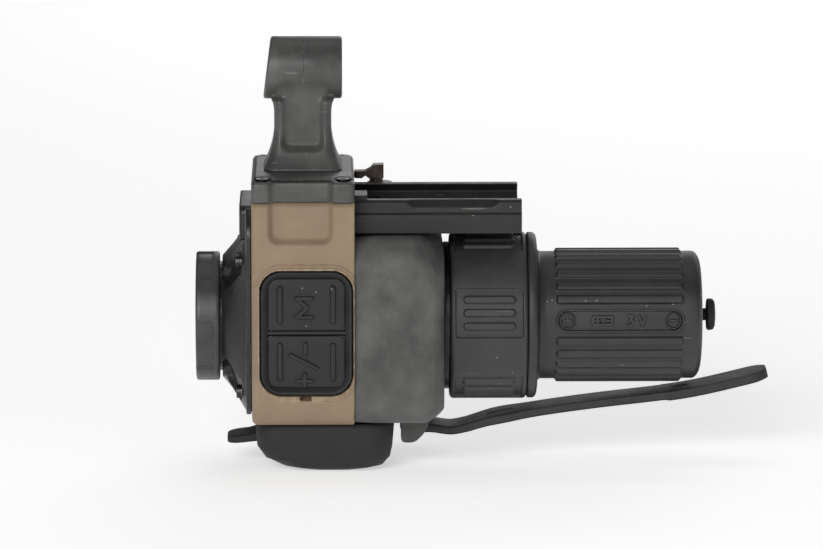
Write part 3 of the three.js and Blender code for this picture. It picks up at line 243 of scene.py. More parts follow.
def makeMaterial(name, look):
    # colour = base and shade by slow noise, then edges worn pale and painted with highlight, scratches and
    # dust; bump = grain and tool rings
    material = bpy.data.materials.new(name)
    material.use_nodes = True
    tree = material.node_tree
    shader = tree.nodes["Principled BSDF"]
    place = addNode(tree, "ShaderNodeTexCoord").outputs["Object"]
    clouds = addNode(tree, "ShaderNodeTexNoise", {"Scale": 1000 / look["cloud"], "Detail": 5,
                                                  "Roughness": 0.62}, {"Vector": place}).outputs[0]
    cloudy = addNode(tree, "ShaderNodeMapRange", {"From Min": 0.36, "From Max": 0.64},
                     {"Value": clouds}).outputs[0]
    colour = mixColour(tree, cloudy, look["shade"], look["base"])
    grain = addNode(tree, "ShaderNodeTexNoise", {"Scale": 1000 / look["grain"], "Detail": 2},
                    {"Vector": place})
    bumpSettings = {"Strength": 1, "Distance": look["grainHeight"] / 1000}
    normal = addNode(tree, "ShaderNodeBump", bumpSettings, {"Height": grain.outputs[0]}).outputs[0]
    if "rings" in look:  # tool marks around the turning axis
        rings = addNode(tree, "ShaderNodeTexWave", {"bands_direction": "X", "Scale": 314 / look["rings"] / 10,
                        "Distortion": 0.4}, {"Vector": place})
        normal = addNode(tree, "ShaderNodeBump", {"Strength": 0.5, "Distance": 3e-6},
                         {"Height": rings.outputs[1], "Normal": normal}).outputs[0]
    if "edgeWearAndHighlight" in look:  # rubbed edges and painted edge highlight in one pale colour: where a rounded normal turns away from the face
        edgeWearAndHighlightColour, reach, amount = look["edgeWearAndHighlight"]
        rounded = addNode(tree, "ShaderNodeBevel", {"samples": 4, "Radius": reach / 1000}).outputs[0]
        flat = addNode(tree, "ShaderNodeNewGeometry").outputs["Normal"]
        turned = addNode(tree, "ShaderNodeVectorMath", {"operation": "DOT_PRODUCT"}, {0: rounded, 1: flat})
        patchy = addNode(tree, "ShaderNodeTexNoise", {"Scale": 900, "Detail": 4},
                         {"Vector": place}).outputs[0]
        edge = addNode(tree, "ShaderNodeMapRange", {"From Min": 0.985, "From Max": 0.8, "To Max": amount},
                       {"Value": turned.outputs["Value"]}).outputs[0]
        broken = addNode(tree, "ShaderNodeMapRange", {"From Min": 0.42, "From Max": 0.62}, {"Value": patchy})
        wearAndHighlightMask = addNode(tree, "ShaderNodeMath", {"operation": "MULTIPLY"}, {0: edge, 1: broken.outputs[0]})
        colour = mixColour(tree, wearAndHighlightMask.outputs[0], colour, edgeWearAndHighlightColour)
    if "scratches" in look:  # thin slanting lines that come and go
        scratchColour, amount = look["scratches"]
        stretched = addNode(tree, "ShaderNodeMapping", {"Rotation": (0.3, 0.5, 0.2), "Scale": (60, 900, 900)},
                            {"Vector": place}).outputs[0]
        lines = addNode(tree, "ShaderNodeTexNoise", {"Scale": 1.6, "Detail": 1},
                        {"Vector": stretched}).outputs[0]
        line = addNode(tree, "ShaderNodeMapRange", {"From Min": 0.735, "From Max": 0.76, "To Max": amount},
                       {"Value": lines}).outputs[0]
        colour = mixColour(tree, line, colour, scratchColour)
    if "specks" in look:  # dust: a small dot in some cells
        dustColour, spacing, size, share = look["specks"]
        cells = addNode(tree, "ShaderNodeTexVoronoi", {"Scale": 1000 / spacing}, {"Vector": place})
        dot = addNode(tree, "ShaderNodeMapRange", {"From Min": size / spacing,
                                                   "From Max": size * 0.5 / spacing},
                      {"Value": cells.outputs["Distance"]}).outputs[0]
        chosen = addNode(tree, "ShaderNodeMath", {"operation": "GREATER_THAN", 1: share},
                         {0: cells.outputs["Color"]}).outputs[0]
        dust = addNode(tree, "ShaderNodeMath", {"operation": "MULTIPLY"}, {0: dot, 1: chosen}).outputs[0]
        colour = mixColour(tree, dust, colour, dustColour)
    rough = addNode(tree, "ShaderNodeMapRange", {"From Min": 0.3, "From Max": 0.7, "To Min": look["rough"][0],
                    "To Max": look["rough"][1]}, {"Value": clouds}).outputs[0]
    tree.links.new(colour, shader.inputs["Base Color"])
    tree.links.new(rough, shader.inputs["Roughness"])
    tree.links.new(normal, shader.inputs["Normal"])
    shader.inputs["Metallic"].default_value = look.get("metallic", 0)
    shader.inputs["Specular IOR Level"].default_value = look.get("specular", 0.5)
    shader.inputs["Coat Weight"].default_value = look.get("coat", 0)
    return material


materials = {name: makeMaterial(name, look) for name, look in finishes.items()}
for node, obj in frame["nodes"].items():
    obj.data.materials.clear()
    obj.data.materials.append(materials[finishOfSlot[slotOf[node]]])
for index in range(1, 5):
    frame["nodes"][f"front_screw_{index}"].data.materials[0] = materials["rubbedHighlitSteel"]
print("materials:", len(materials))


# ---- shape helpers
def ramp(distance, width):
    # 0 outside, 1 inside, with an eased step of that width across a signed distance (positive inside)
    t = np.clip(distance / width + 0.5, 0, 1)
    return t * t * (3 - 2 * t)


def insideBox(u, v, middleU, middleV, halfU, halfV, corner):
    # signed distance to a rounded rectangle, positive inside
    du = np.abs(u - middleU) - halfU + corner
    dv = np.abs(v - middleV) - halfV + corner
    return corner - np.hypot(np.maximum(du, 0), np.maximum(dv, 0)) - np.minimum(np.maximum(du, dv), 0)


def insideStroke(u, v, start, end, halfWidth):
    # signed distance to a straight stroke with round ends, positive inside
    along = np.array(end, float) - start
    t = np.clip(((u - start[0]) * along[0] + (v - start[1]) * along[1]) / (along @ along), 0, 1)
    return halfWidth - np.hypot(u - start[0] - t * along[0], v - start[1] - t * along[1])


def insideStrokes(u, v, points, halfWidth):
    # a line of strokes from point to point
    return np.max([insideStroke(u, v, a, b, halfWidth) for a, b in zip(points, points[1:])], axis=0)


def roundedOutline(half, low, high, lowCorner, highCorner, counts=(40, 40, 40, 40), cornerSteps=8, flat=0):
    # a rounded rectangle across -half..half, up low..high; counts are for its bottom, +side, top and -side
    # flat draws each corner's arc towards its chord
    corners = [(half - lowCorner, low + lowCorner, lowCorner, -90),
               (half - highCorner, high - highCorner, highCorner, 0),
               (highCorner - half, high - highCorner, highCorner, 90),
               (lowCorner - half, low + lowCorner, lowCorner, 180)]
    arcs = []
    for across, up, radius, start in corners:
        angle = np.radians(start + np.linspace(0, 90, cornerSteps + 1))
        arc = np.stack([across + radius * np.cos(angle), up + radius * np.sin(angle)], 1)
        chord = arc[:1] + (arc[-1:] - arc[:1]) * np.linspace(0, 1, cornerSteps + 1)[:, None]
        arcs.append(arc * (1 - flat) + chord * flat)
    sides = []
    for k, count in enumerate(counts):
        begin, end = arcs[k - 1][-1], arcs[k][0]
        sides += [begin + (end - begin) * np.linspace(0, 1, count, endpoint=False)[1:, None], arcs[k]]
    return np.concatenate(sides)


def filleted(corners, radius, steps=5):
    # each corner of a polygon gives way to a short curve from one side into the next
    corners = np.array(corners, float)
    before, after = np.roll(corners, 1, 0) - corners, np.roll(corners, -1, 0) - corners
    reach = np.broadcast_to(np.array(radius, float).reshape(-1, 1), (len(corners), 1))
    lengths = [np.linalg.norm(side, axis=1, keepdims=True) for side in (before, after)]
    start = corners + before / lengths[0] * np.minimum(reach, 0.45 * lengths[0])
    end = corners + after / lengths[1] * np.minimum(reach, 0.45 * lengths[1])
    t = np.linspace(0, 1, steps)[None, :, None]
    curve = (1 - t) ** 2 * start[:, None] + 2 * t * (1 - t) * corners[:, None] + t ** 2 * end[:, None]
    return curve.reshape(-1, 2)


def swept(rows, closed=True, joined=False, caps=("fan", "fan")):
    # a grid of points (rows, around, 3) as vertices and faces; caps close its first and last row
    rows = np.asarray(rows, float)
    n, m = rows.shape[:2]
    index = np.arange(n * m).reshape(n, m)
    a = index if joined else index[:-1]
    b = np.roll(index, -1, 0) if joined else index[1:]
    if closed:
        quads = np.stack([a, np.roll(a, -1, 1), np.roll(b, -1, 1), b], -1).reshape(-1, 4)
    else:
        quads = np.stack([a[:, :-1], a[:, 1:], b[:, 1:], b[:, :-1]], -1).reshape(-1, 4)
    points, faces = rows.reshape(-1, 3), quads.tolist()
    if joined:
        return points, faces
    for row, cap in zip((0, n - 1), caps):
        ring = index[row] if row else index[row][::-1]
        if cap == "face":
            faces.append(ring.tolist())
        if cap == "fan":
            hub = len(points)
            points = np.vstack([points, rows[row].mean(0)])
            faces += np.stack([ring, np.roll(ring, -1), np.full(m, hub)], 1).tolist()
    return points, faces


def revolved(x, radius, count=192):
    # points at angle t from the key side, upwards: (x, -r cos t, r sin t); x and r may change with t
    angle = np.linspace(0, 2 * np.pi, count, endpoint=False) if np.isscalar(count) else count
    x, radius = np.broadcast_arrays(np.asarray(x, float).reshape(len(x), -1),
                                    np.asarray(radius, float).reshape(len(x), -1))
    x = np.broadcast_to(x, (len(x), len(angle)))
    radius = np.broadcast_to(radius, (len(x), len(angle)))
    return np.stack([x, -radius * np.cos(angle), radius * np.sin(angle)], -1)


def along(axis, outline, station):
    # an outline's pairs put at a station: 'x' takes (y, z), 'z' takes (y, x), 'y' takes (x, z)
    station = np.broadcast_to(station, len(outline))
    first, second = outline[:, 0], outline[:, 1]
    return np.stack({"x": [station, first, second], "z": [second, first, station],
                     "y": [first, station, second]}[axis], 1)


def towards(ring, centre, shares):
    # copies of a ring of points that close in on a centre
    return [centre + (ring - centre) * share for share in shares]


def makePiece(name, parts, nodes, material=None, sharp=40, bevel=0, merge=True):
    # one object from several closed shells, each turned to face outwards, standing for the named CAD nodes
    whole, faces = np.zeros((0, 3)), []
    for points, partFaces in parts:
        first = np.array([f[:3] for f in partFaces])
        last = np.array([[f[0], f[2], f[3]] if len(f) == 4 else [f[0]] * 3 for f in partFaces])
        corners = points[np.vstack([first, last])]
        volume = np.einsum("ij,ij->", corners[:, 0], np.cross(corners[:, 1], corners[:, 2]))
        order = 1 if volume > 0 else -1
        faces += [[v + len(whole) for v in f[::order]] for f in partFaces]
        whole = np.vstack([whole, points])
    mesh = bpy.data.meshes.new(name)
    mesh.from_pydata(((whole + [0, 0, axisHeight]) / 1000).tolist(), [], faces)
    if merge:
        shell = bmesh.new()
        shell.from_mesh(mesh)
        bmesh.ops.remove_doubles(shell, verts=shell.verts, dist=2e-6)
        shell.to_mesh(mesh)
        shell.free()
    mesh.shade_smooth()
    mesh.set_sharp_from_angle(angle=math.radians(sharp))
    mesh.materials.append(materials[material or finishOfSlot[slotOf[nodes[0]]]])
    obj = bpy.data.objects.new(name, mesh)
    bpy.context.scene.collection.objects.link(obj)
    if bevel:
        soften = obj.modifiers.new("soften", "BEVEL")
        soften.width, soften.segments, soften.limit_method = bevel / 1000, 3, "ANGLE"
        soften.angle_limit = math.radians(35)
    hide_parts(*nodes)
    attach(obj, bodyOf[nodes[0]])
    return obj


# ---- main housing with its thumb recess and the raised lip around the keys
housing = dict(corner=3.9, topCorner=0.8, edge=1.1, recessWidth=11, recessShift=0.4, recessHeight=7,
               recessDepth=1.25, lip=0.58, lipWidth=1.0, pocket=3.3, drain=(-22.7, 0.95, 0.35))
housingLow, housingHigh = span("main_housing")
housingMid, housingHalf = (housingLow[0] + housingHigh[0]) / 2, (housingHigh[0] - housingLow[0]) / 2
keysLow, keysHigh = span("keypad_frame")
keysMid = (keysLow + keysHigh) / 2
keysHalf = (keysHigh - keysLow) / 2


def housingSurface():
    # a rounded section carried along x; the key side is sunk at the recess and pocket, and raised at the lip
    half, edge, backEdge = housingHigh[1], housing["edge"], 0.35
    turn = np.radians(np.linspace(0, 90, 7))
    stations = np.concatenate([housingLow[0] + edge * (1 - np.cos(turn)),
                               np.linspace(housingLow[0] + edge, housingHigh[0] - backEdge, 84)[1:-1],
                               housingHigh[0] - backEdge * (1 - np.sin(turn))])
    insets = np.concatenate([edge * 0.8 * (1 - np.sin(turn)), np.zeros(82), backEdge * (1 - np.cos(turn))])
    rows = []
    for x, inset in zip(stations, insets):
        outline = roundedOutline(half - inset, housingLow[2] + inset, housingHigh[2] - inset * 0.2,
                                 housing["corner"], housing["topCorner"], (40, 60, 40, 230), flat=0.45)
        rows.append(along("x", outline, x))
    rows = np.array(rows)
    x, y, z = rows[..., 0], rows[..., 1], rows[..., 2]
    facing = ramp(-y - half + 0.9, 0.5)
    recess = insideBox(x, z, housingMid - housing["recessShift"], housingHigh[2] + 3,
                       housing["recessWidth"] / 2, housing["recessHeight"] + 3, 1.8)
    pocket = insideBox(x, z, keysMid[0], keysMid[2], keysHalf[0] + 0.1, keysHalf[2] + 0.1, 3.7)
    lip = 0.5 * ramp(pocket + housing["lipWidth"], 0.16) + 0.5 * ramp(pocket + housing["lipWidth"] / 2, 0.16)
    lip *= 1 - ramp(recess + 0.2, 0.3)
    drainX, drainHalf, drainHeight = housing["drain"]
    drain = insideBox(x, z, drainX, keysLow[2] - 0.55, drainHalf, drainHeight, 0.3)
    sink = housing["recessDepth"] * ramp(recess - 0.35, 1.3) - housing["lip"] * lip + 2.2 * ramp(drain, 0.12)
    y += facing * (sink + housing["pocket"] * ramp(pocket, 0.2))
    front = towards(rows[0], rows[0].mean(0), (0.4, 0.8))
    back = towards(rows[-1], rows[-1].mean(0), (0.8, 0.4))
    return swept(np.concatenate([front, rows, back]))


makePiece("mainShell", [housingSurface()], ["main_housing"], sharp=50)
print("main housing")

# ---- keys
keys = dict(border=1.2, gap=0.3, split=0.5, corner=3.6, mark=0.33, markHeight=0.5, barWidth=0.85,
            barHeight=0.5, barLength=6.5, barOffset=4.5, crown=0.12)
keyMarks = dict(
    key_menu=[[(-21.65, 5.7), (-24.25, 5.7), (-22.45, 4.1), (-24.25, 2.5), (-21.65, 2.5)]],
    key_adjust=[[(-22.8, -2.1), (-22.8, -3.7)], [(-25.3, -4.0), (-20.8, -6.3)],
                [(-24.1, -8.46), (-21.8, -8.46)], [(-22.95, -7.3), (-22.95, -9.6)]],
)


def keyFrame():
    # a rounded border profile carried around the keys' outline, with a bar between the two keys
    face, back = keysLow[1], keysHigh[1]
    border = keys["border"]
    profile = [(0, back), (0, face + 0.35), (0.1, face + 0.1), (0.25, face), (0.45, face + 0.04),
               (0.6, face + 0.2), (border - 0.15, face + 0.6), (border, face + 0.75), (border, face + 1.8)]
    rings = []
    for inset, y in profile:
        low, high = keysMid[2] - keysHalf[2] + inset, keysMid[2] + keysHalf[2] - inset
        corner = keys["corner"] - inset
        rings.append(along("y", roundedOutline(keysHalf[0] - inset, low, high, corner, corner), y))
    rows = np.array(rings) + [keysMid[0], 0, 0]
    bar = roundedOutline(keys["split"] / 2, face + 0.8, back, 0.05, 0.2, (6, 6, 6, 6), 4)
    reach = keysHalf[0] - border / 2
    barRows = [np.stack([np.full(len(bar), keysMid[0] + s * reach), bar[:, 1], keysMid[2] + bar[:, 0]], 1)
               for s in (-1, 1)]
    return [swept(rows), swept(barRows)]


def keySurface(node):
    # a soft-edged plate whose height adds a slight crown, two grip bars and the raised marks
    low, high = span(node)
    middle, half = (low + high) / 2, (high - low) / 2
    face = low[1] + 0.62
    upper = node == "key_menu"
    cornerRadius = keys["corner"] - keys["border"] - keys["gap"]
    radii = (0.5, cornerRadius) if upper else (cornerRadius, 0.5)
    outline = roundedOutline(half[0] + 0.1, low[2] - 0.1, high[2] + 0.1, *radii, (110, 74, 110, 74), 8)
    ring = along("y", outline, 0) + [middle[0], 0, 0]
    centre = np.array([middle[0], 0, middle[2]])
    shares = np.concatenate([np.linspace(0.012, 0.985, 64), [1.0]])
    rows = np.array(towards(ring, centre, shares))
    x, z = rows[..., 0], rows[..., 2]
    edge = insideBox(x, z, middle[0], middle[2], half[0] + 0.1, half[2] + 0.1, 1.2)
    height = keys["crown"] * ramp(edge - 1, 3) + 0.2 * (np.clip(edge / 0.3, 0, 1) ** 0.5 - 1)
    for side in (-1, 1):
        bar = insideBox(x, z, keysMid[0] + side * keys["barOffset"], middle[2], keys["barWidth"] / 2,
                        keys["barLength"] / 2, 0.42)
        height = height + keys["barHeight"] * ramp(bar, 0.2)
    for strokes in keyMarks[node]:
        height = height + keys["markHeight"] * ramp(insideStrokes(x, z, strokes, keys["mark"]), 0.16)
    rows[..., 1] = np.maximum(face - height, low[1])
    wall = rows[-1] + [0, 0.6, 0]
    foot = rows[-1].copy()
    foot[:, 1] = high[1]
    return swept(np.concatenate([rows, [wall, foot]]))


makePiece("keyBorder", keyFrame(), ["keypad_frame"])
makePiece("menuKey", [keySurface("key_menu")], ["key_menu"], sharp=60)
makePiece("adjustKey", [keySurface("key_adjust")], ["key_adjust"], sharp=60)
print("keys")

# ---- rear housing and the strap's ears
rear = dict(lowCorner=3.4, topCorner=5.2, flat=0.6, cornerFlat=0.15, sideEdge=1.9, topEdge=4.2, lowEdge=3.4)
rearLow, rearHigh = span("rear_housing")
rearBottom = housingLow[2] + 0.3


def rearSurface():
    # a rounded section carried along x; its back edge rolls over widely on top, tightly at the sides
    half, top = rearHigh[1], rearHigh[2]
    rows = [along("x", roundedOutline(half - 0.2, rearBottom + 0.2, top - 0.2, 3.2, 5, (60, 80, 60, 80), 14,
                                      rear["cornerFlat"]), rearLow[0])]
    full = roundedOutline(half, rearBottom, top, rear["lowCorner"], rear["topCorner"], (60, 80, 60, 80), 14,
                          rear["cornerFlat"])
    up = np.clip((full[:, 1] - (top - 6)) / 6, 0, 1)
    down = np.clip((rearBottom + 5 - full[:, 1]) / 5, 0, 1)
    reach = rear["sideEdge"] + (rear["topEdge"] - rear["sideEdge"]) * up ** 1.5
    reach += (rear["lowEdge"] - rear["sideEdge"]) * down
    for x in np.linspace(0.3, 1, 24) * (rearHigh[0] - rear["topEdge"] - rearLow[0]) + rearLow[0]:
        rows.append(along("x", full, x))
    for share in np.linspace(0, 1, 15):
        turn, flat = share * math.pi / 2, rear["flat"]
        inset = 2.3 * ((1 - math.cos(turn)) * (1 - flat) + share * flat)
        ring = roundedOutline(half - inset, rearBottom + inset, top - inset * 1.15,
                              rear["lowCorner"] - inset * 0.4, rear["topCorner"] - inset * 0.4,
                              (60, 80, 60, 80), 14, rear["cornerFlat"])
        back = (1 - math.sin(turn)) * (1 - flat) + (1 - share) * flat
        rows.append(along("x", ring, rearHigh[0] - reach * back))
    middle = np.array([rearHigh[0], 0, (top + rearBottom) / 2])
    rows += towards(rows[-1], middle, (0.9, 0.6, 0.3))
    return swept(rows)


def earSurfaces():
    # two plates whose outline, a slanted hook with rounded corners, is carried across y
    outline = filleted([(-6.4, rearBottom + 1), (-6.4, rearLow[2]), (-4.0, rearLow[2]),
                        (-2.0, rearLow[2] + 2), (-1.0, rearBottom + 1)], (0.2, 0.9, 0.9, 1.4, 0.2), 7)
    return [swept([along("y", outline, side * y) for y in (4.5, 6.7)], caps=("face", "face"))
            for side in (-1, 1)]


makePiece("rearShell", [rearSurface()], ["rear_housing"], sharp=45)
makePiece("strapEars", earSurfaces(), ["rear_housing"], bevel=0.3)
print("rear housing")

# ---- battery neck and the turning collar
collar = dict(bead=0.7, padDepth=0.5, padPitch=66, padTurn=10, padSpan=34.4, padEnds=0.85, ribPitch=9.3,
              ribHalf=0.62, ribEnds=2.2)
collarLow, collarHigh = span("lock_collar")
collarRadius = collarHigh[2]


def collarSurface():
    # radius = a barrel with rolled ends, less the eased grip pads, plus three round-ended ribs on each pad
    count = 720
    angle = np.linspace(0, 2 * np.pi, count, endpoint=False)
    bead, start, end = collar["bead"], collarLow[0], collarHigh[0]
    turn = np.radians(np.linspace(0, 90, 7))
    x = np.concatenate([start + bead * (1 - np.cos(turn)), np.linspace(start + bead, end - bead, 92)[1:-1],
                        end - bead * (1 - np.sin(turn))])
    barrel = np.concatenate([collarRadius - bead * (1 - np.sin(turn)), np.full(90, collarRadius),
                             collarRadius - bead * (1 - np.cos(turn))])
    grid, degrees = x[:, None], np.degrees(angle)[None]
    relief = 0
    for pad in range(-2, 3):
        centre = collar["padTurn"] + pad * collar["padPitch"]
        arc = np.radians((degrees - centre + 180) % 360 - 180) * collarRadius
        middle, halfLength = (start + end) / 2, (end - start) / 2 - collar["padEnds"]
        halfArc = math.radians(collar["padSpan"] / 2) * collarRadius
        relief = relief - collar["padDepth"] * ramp(insideBox(grid, arc, middle, 0, halfLength, halfArc,
                                                              0.35), 0.16)
        for rib in (-1, 0, 1):
            offset = math.radians(rib * collar["ribPitch"]) * collarRadius
            shape = insideBox(grid, arc, middle, offset, halfLength - collar["ribEnds"] + 0.85,
                              collar["ribHalf"], 0.6)
            relief = relief + collar["padDepth"] * ramp(shape, 0.26)
    rows = revolved(x, barrel[:, None] + relief, angle)
    bore = revolved([end, start], [collarRadius - 3.4, collarRadius - 2.4], angle)
    return swept(np.concatenate([rows, bore]), joined=True)


def neckSurface():
    # a stepped round profile turned about the axis
    low, high = span("battery_neck")
    outer = high[2]
    x = np.array([0, 0, 0.15, 0.85, 1.0, 1.05, 3, 6.5, 6.7, 6.7]) + low[0]
    radius = [6, outer - 0.3, outer, outer, outer - 0.2, outer - 1.1, outer - 1.1, outer - 1.1, outer - 1.4,
              10]
    return swept(revolved(x, radius))


makePiece("turningCollar", [collarSurface()], ["lock_collar"], sharp=60)
makePiece("neckRing", [neckSurface()], ["battery_neck"])
print("collar")

# ---- battery tube, its ribs and label panel, and the mushroom post
tube = dict(ribs=27, ribHeight=0.55, ribHalf=0.66, ribStart=3.1, ribTail=3.3, panelTurn=3.5, panelGap=37,
            panelProud=0.5, panelHalf=1.9, flange=1.7, flangeRadius=14.3, radius=11, endRound=2.6,
            sleeve=10.4)
tubeHigh = span("battery_tube")[1]
tubeFront = collarHigh[0] + 0.06
tubeEnd = tubeHigh[0] - 0.2
ribFront, ribBack = tubeFront + tube["flange"] + tube["ribStart"], tubeEnd - tube["ribTail"]


def tubeSurface():
    # radius = sleeve, shoulder flange, long cylinder and rounded end, plus square-shouldered ribs along it
    spread = (360 - tube["panelGap"]) * np.arange(tube["ribs"]) / (tube["ribs"] - 1)
    centres = tube["panelTurn"] + tube["panelGap"] / 2 + spread
    offsets = np.array([-0.95, -0.84, -0.75, -0.66, -0.57, -0.48, -0.2, 0.2, 0.48, 0.57, 0.66, 0.75, 0.84,
                        0.95])
    angle = np.radians(centres)[:, None] + offsets / tube["radius"]
    plain = np.radians(tube["panelTurn"] + np.linspace(-12, 12, 25))
    angle = np.sort(np.concatenate([angle.ravel(), plain]) % (2 * np.pi))
    f, r, flange = tubeFront, tube["radius"], tube["flangeRadius"]
    turn = np.radians(np.linspace(0, 90, 10))
    head = [(f - tube["sleeve"], 8.8), (f - tube["sleeve"], 10.0), (f - tube["sleeve"] + 0.2, 10.2),
            (f, 10.2), (f, flange - 0.4), (f + 0.08, flange - 0.15), (f + 0.3, flange), (f + 0.95, flange),
            (f + 1.3, flange - 0.12), (f + 1.58, flange - 0.45), (f + 1.7, flange - 0.9),
            (f + 1.75, r + 0.9), (f + 1.95, r + 0.3), (f + 2.3, r)]
    bodyX = np.concatenate([[f + 3.2], ribFront + np.linspace(-0.4, 0.6, 9),
                            np.linspace(ribFront + 1.2, ribBack - 1.2, 16),
                            ribBack + np.linspace(-0.6, 0.4, 9)])
    tail = np.stack([tubeEnd - 1.56 * (1 - np.sin(turn)), r - tube["endRound"] * (1 - np.cos(turn))], 1)
    x = np.concatenate([[p[0] for p in head], bodyX, tail[:, 0], [tubeEnd + 0.15, tubeEnd + 0.2]])
    radius = np.concatenate([[p[1] for p in head], np.full(len(bodyX), r), tail[:, 1], [4, 1.2]])
    arc = np.radians((np.degrees(angle)[None, :, None] - centres + 180) % 360 - 180) * r
    across = tube["ribHalf"] - np.abs(arc).min(-1)
    ribs = ramp(across, 0.3) * ramp(x - ribFront - 0.2, 0.5)[:, None] * ramp(ribBack - 0.2 - x, 0.5)[:, None]
    return swept(revolved(x, radius[:, None] + tube["ribHeight"] * ribs, angle))


def labelSurface():
    # a long pill wrapped on the tube: height = raised rim, circled plus and minus, a cell sign and "3 V"
    length = (ribBack - ribFront) / 2
    half = tube["panelHalf"]
    outline = roundedOutline(length, -half, half, half - 0.001, half - 0.001, (230, 3, 230, 3), 22)
    spine = np.stack([np.clip(outline[:, 0], half - length, length - half), np.zeros(len(outline))], 1)
    shares = np.concatenate([np.linspace(0, 0.97, 26), [1, 1.06]])
    flat = spine + (outline - spine) * shares[:, None, None]
    u, v = flat[..., 0], flat[..., 1]
    edge = insideBox(u, v, 0, 0, length, half, half)
    marks = ramp(0.16 - np.abs(edge - 0.2), 0.16)
    for side in (-1, 1):
        middle = side * (length - half)
        marks = np.maximum(marks, ramp(0.12 - np.abs(np.hypot(u - middle, v) - 1.25), 0.14))
        marks = np.maximum(marks, ramp(insideStroke(u, v, (middle - 0.62, 0), (middle + 0.62, 0), 0.2), 0.1))
    plusX = half - length
    marks = np.maximum(marks, ramp(insideStroke(u, v, (plusX, -0.62), (plusX, 0.62), 0.2), 0.1))
    signs = [[(-4.6, -0.6), (-1.4, -0.6), (-1.4, 0.6), (-4.6, 0.6), (-4.6, -0.6)],
             [(-4.9, -0.25), (-4.9, 0.25)], [(-3.9, 0.25), (-3.9, -0.25)], [(-4.15, 0), (-3.65, 0)],
             [(-2.3, 0), (-1.8, 0)], [(1.2, 0.75), (2.2, 0.75), (1.65, 0.15), (2.2, -0.1), (2.2, -0.5),
                                      (1.9, -0.75), (1.2, -0.7)], [(3.2, 0.75), (3.75, -0.75), (4.3, 0.75)]]
    for strokes in signs:
        marks = np.maximum(marks, ramp(insideStrokes(u, v, strokes, 0.22), 0.1))
    height = tube["panelProud"] + 0.42 * marks
    height[-2] = tube["panelProud"] - 0.05
    height[-1] = -0.5
    angle = math.radians(tube["panelTurn"]) + v / tube["radius"]
    radius = tube["radius"] + height
    x = (ribFront + ribBack) / 2 + u
    return swept(np.stack([x, -radius * np.cos(angle), radius * np.sin(angle)], -1), caps=("none", "fan"))


def postSurface():
    # a thin neck and a domed button turned about the axis
    low, high = span("strap_post")
    x = np.array([low[0], low[0] + 0.1, high[0] - 1.5, high[0] - 1.48, high[0] - 1.3, high[0] - 0.8,
                  high[0] - 0.35, high[0] - 0.08, high[0]])
    return swept(revolved(x, [1.0, 1.05, 1.05, 2.5, 2.72, 2.75, 2.6, 2.1, 1.2], 64))


makePiece("ribbedTube", [tubeSurface(), labelSurface()], ["battery_tube"], sharp=50)
makePiece("mushroomPost", [postSurface()], ["strap_post"])
print("battery tube")

# ---- front: flange, cone, focus ring and lens
front = dict(corner=5, pocketRadius=2.35, footInset=0.7, coneRadius=10.5, boreRadius=8.9)
frontHigh = span("front_housing")[1]
plateFront = housingLow[0] - 1.01
ringLow, ringHigh = span("focus_ring")
coneEnd = ringHigh[0] + 0.5


def frontSurface():
    # x as a height over (y, z): flat flange, cone from a rounded square to a circle, four scooped pockets
    half, top, low = frontHigh[1], 20.2, -15.4
    counts = (70, 70, 70, 70)
    outline = roundedOutline(half, low, top, front["corner"], front["corner"], counts, 14)
    foot = roundedOutline(half - front["footInset"], low + 0.5, -low - 0.5, front["corner"],
                          front["corner"], counts, 14)
    circle = foot / np.linalg.norm(foot, axis=1, keepdims=True) * front["coneRadius"]
    bore = circle * front["boreRadius"] / front["coneRadius"]
    seat = housingLow[0] - 0.06
    rows = [along("x", outline * 0.6, seat), along("x", outline * 0.97, seat),
            along("x", outline, seat - 0.15), along("x", outline, plateFront + 0.25),
            along("x", outline * 0.995, plateFront + 0.07), along("x", outline * 0.985, plateFront),
            along("x", (outline + foot) / 2, plateFront), along("x", foot, plateFront)]
    for share in np.linspace(0.02, 1, 60):
        rows.append(along("x", foot + (circle - foot) * share, plateFront + (coneEnd - plateFront) * share))
    rows += [along("x", circle * 0.97, coneEnd), along("x", bore, coneEnd), along("x", bore, coneEnd + 3)]
    rows = np.array(rows)
    x, y, z = rows[..., 0], rows[..., 1], rows[..., 2]
    for node in range(1, 5):
        low, high = span(f"front_screw_{node}")
        middle = (low + high) / 2
        inward = middle[1:] * 0.74
        scoop = np.maximum(insideStroke(y, z, middle[1:], inward, front["pocketRadius"]), -9)
        floor = plateFront - 0.72 - np.maximum(0, np.hypot(middle[1], middle[2]) - np.hypot(y, z) - 0.8) * 0.4
        deep = x < floor
        x[deep] += ((floor - x) * ramp(scoop, 0.4))[deep]
    return swept(rows)


def bossSurface():
    # the raised block above the cone: a rounded outline carried along x with a softened front edge
    outline = roundedOutline(11, 14.6, frontHigh[2], 0.6, 1.4, (20, 12, 40, 12), 8)
    middle = outline.mean(0)
    seat = housingLow[0] - 0.06
    rows = [along("x", outline, seat), along("x", outline, plateFront - 0.75)]
    rows += [along("x", middle + (outline - middle) * 0.985, plateFront - 0.98),
             along("x", middle + (outline - middle) * 0.95, plateFront - 1.1)]
    return swept(rows)


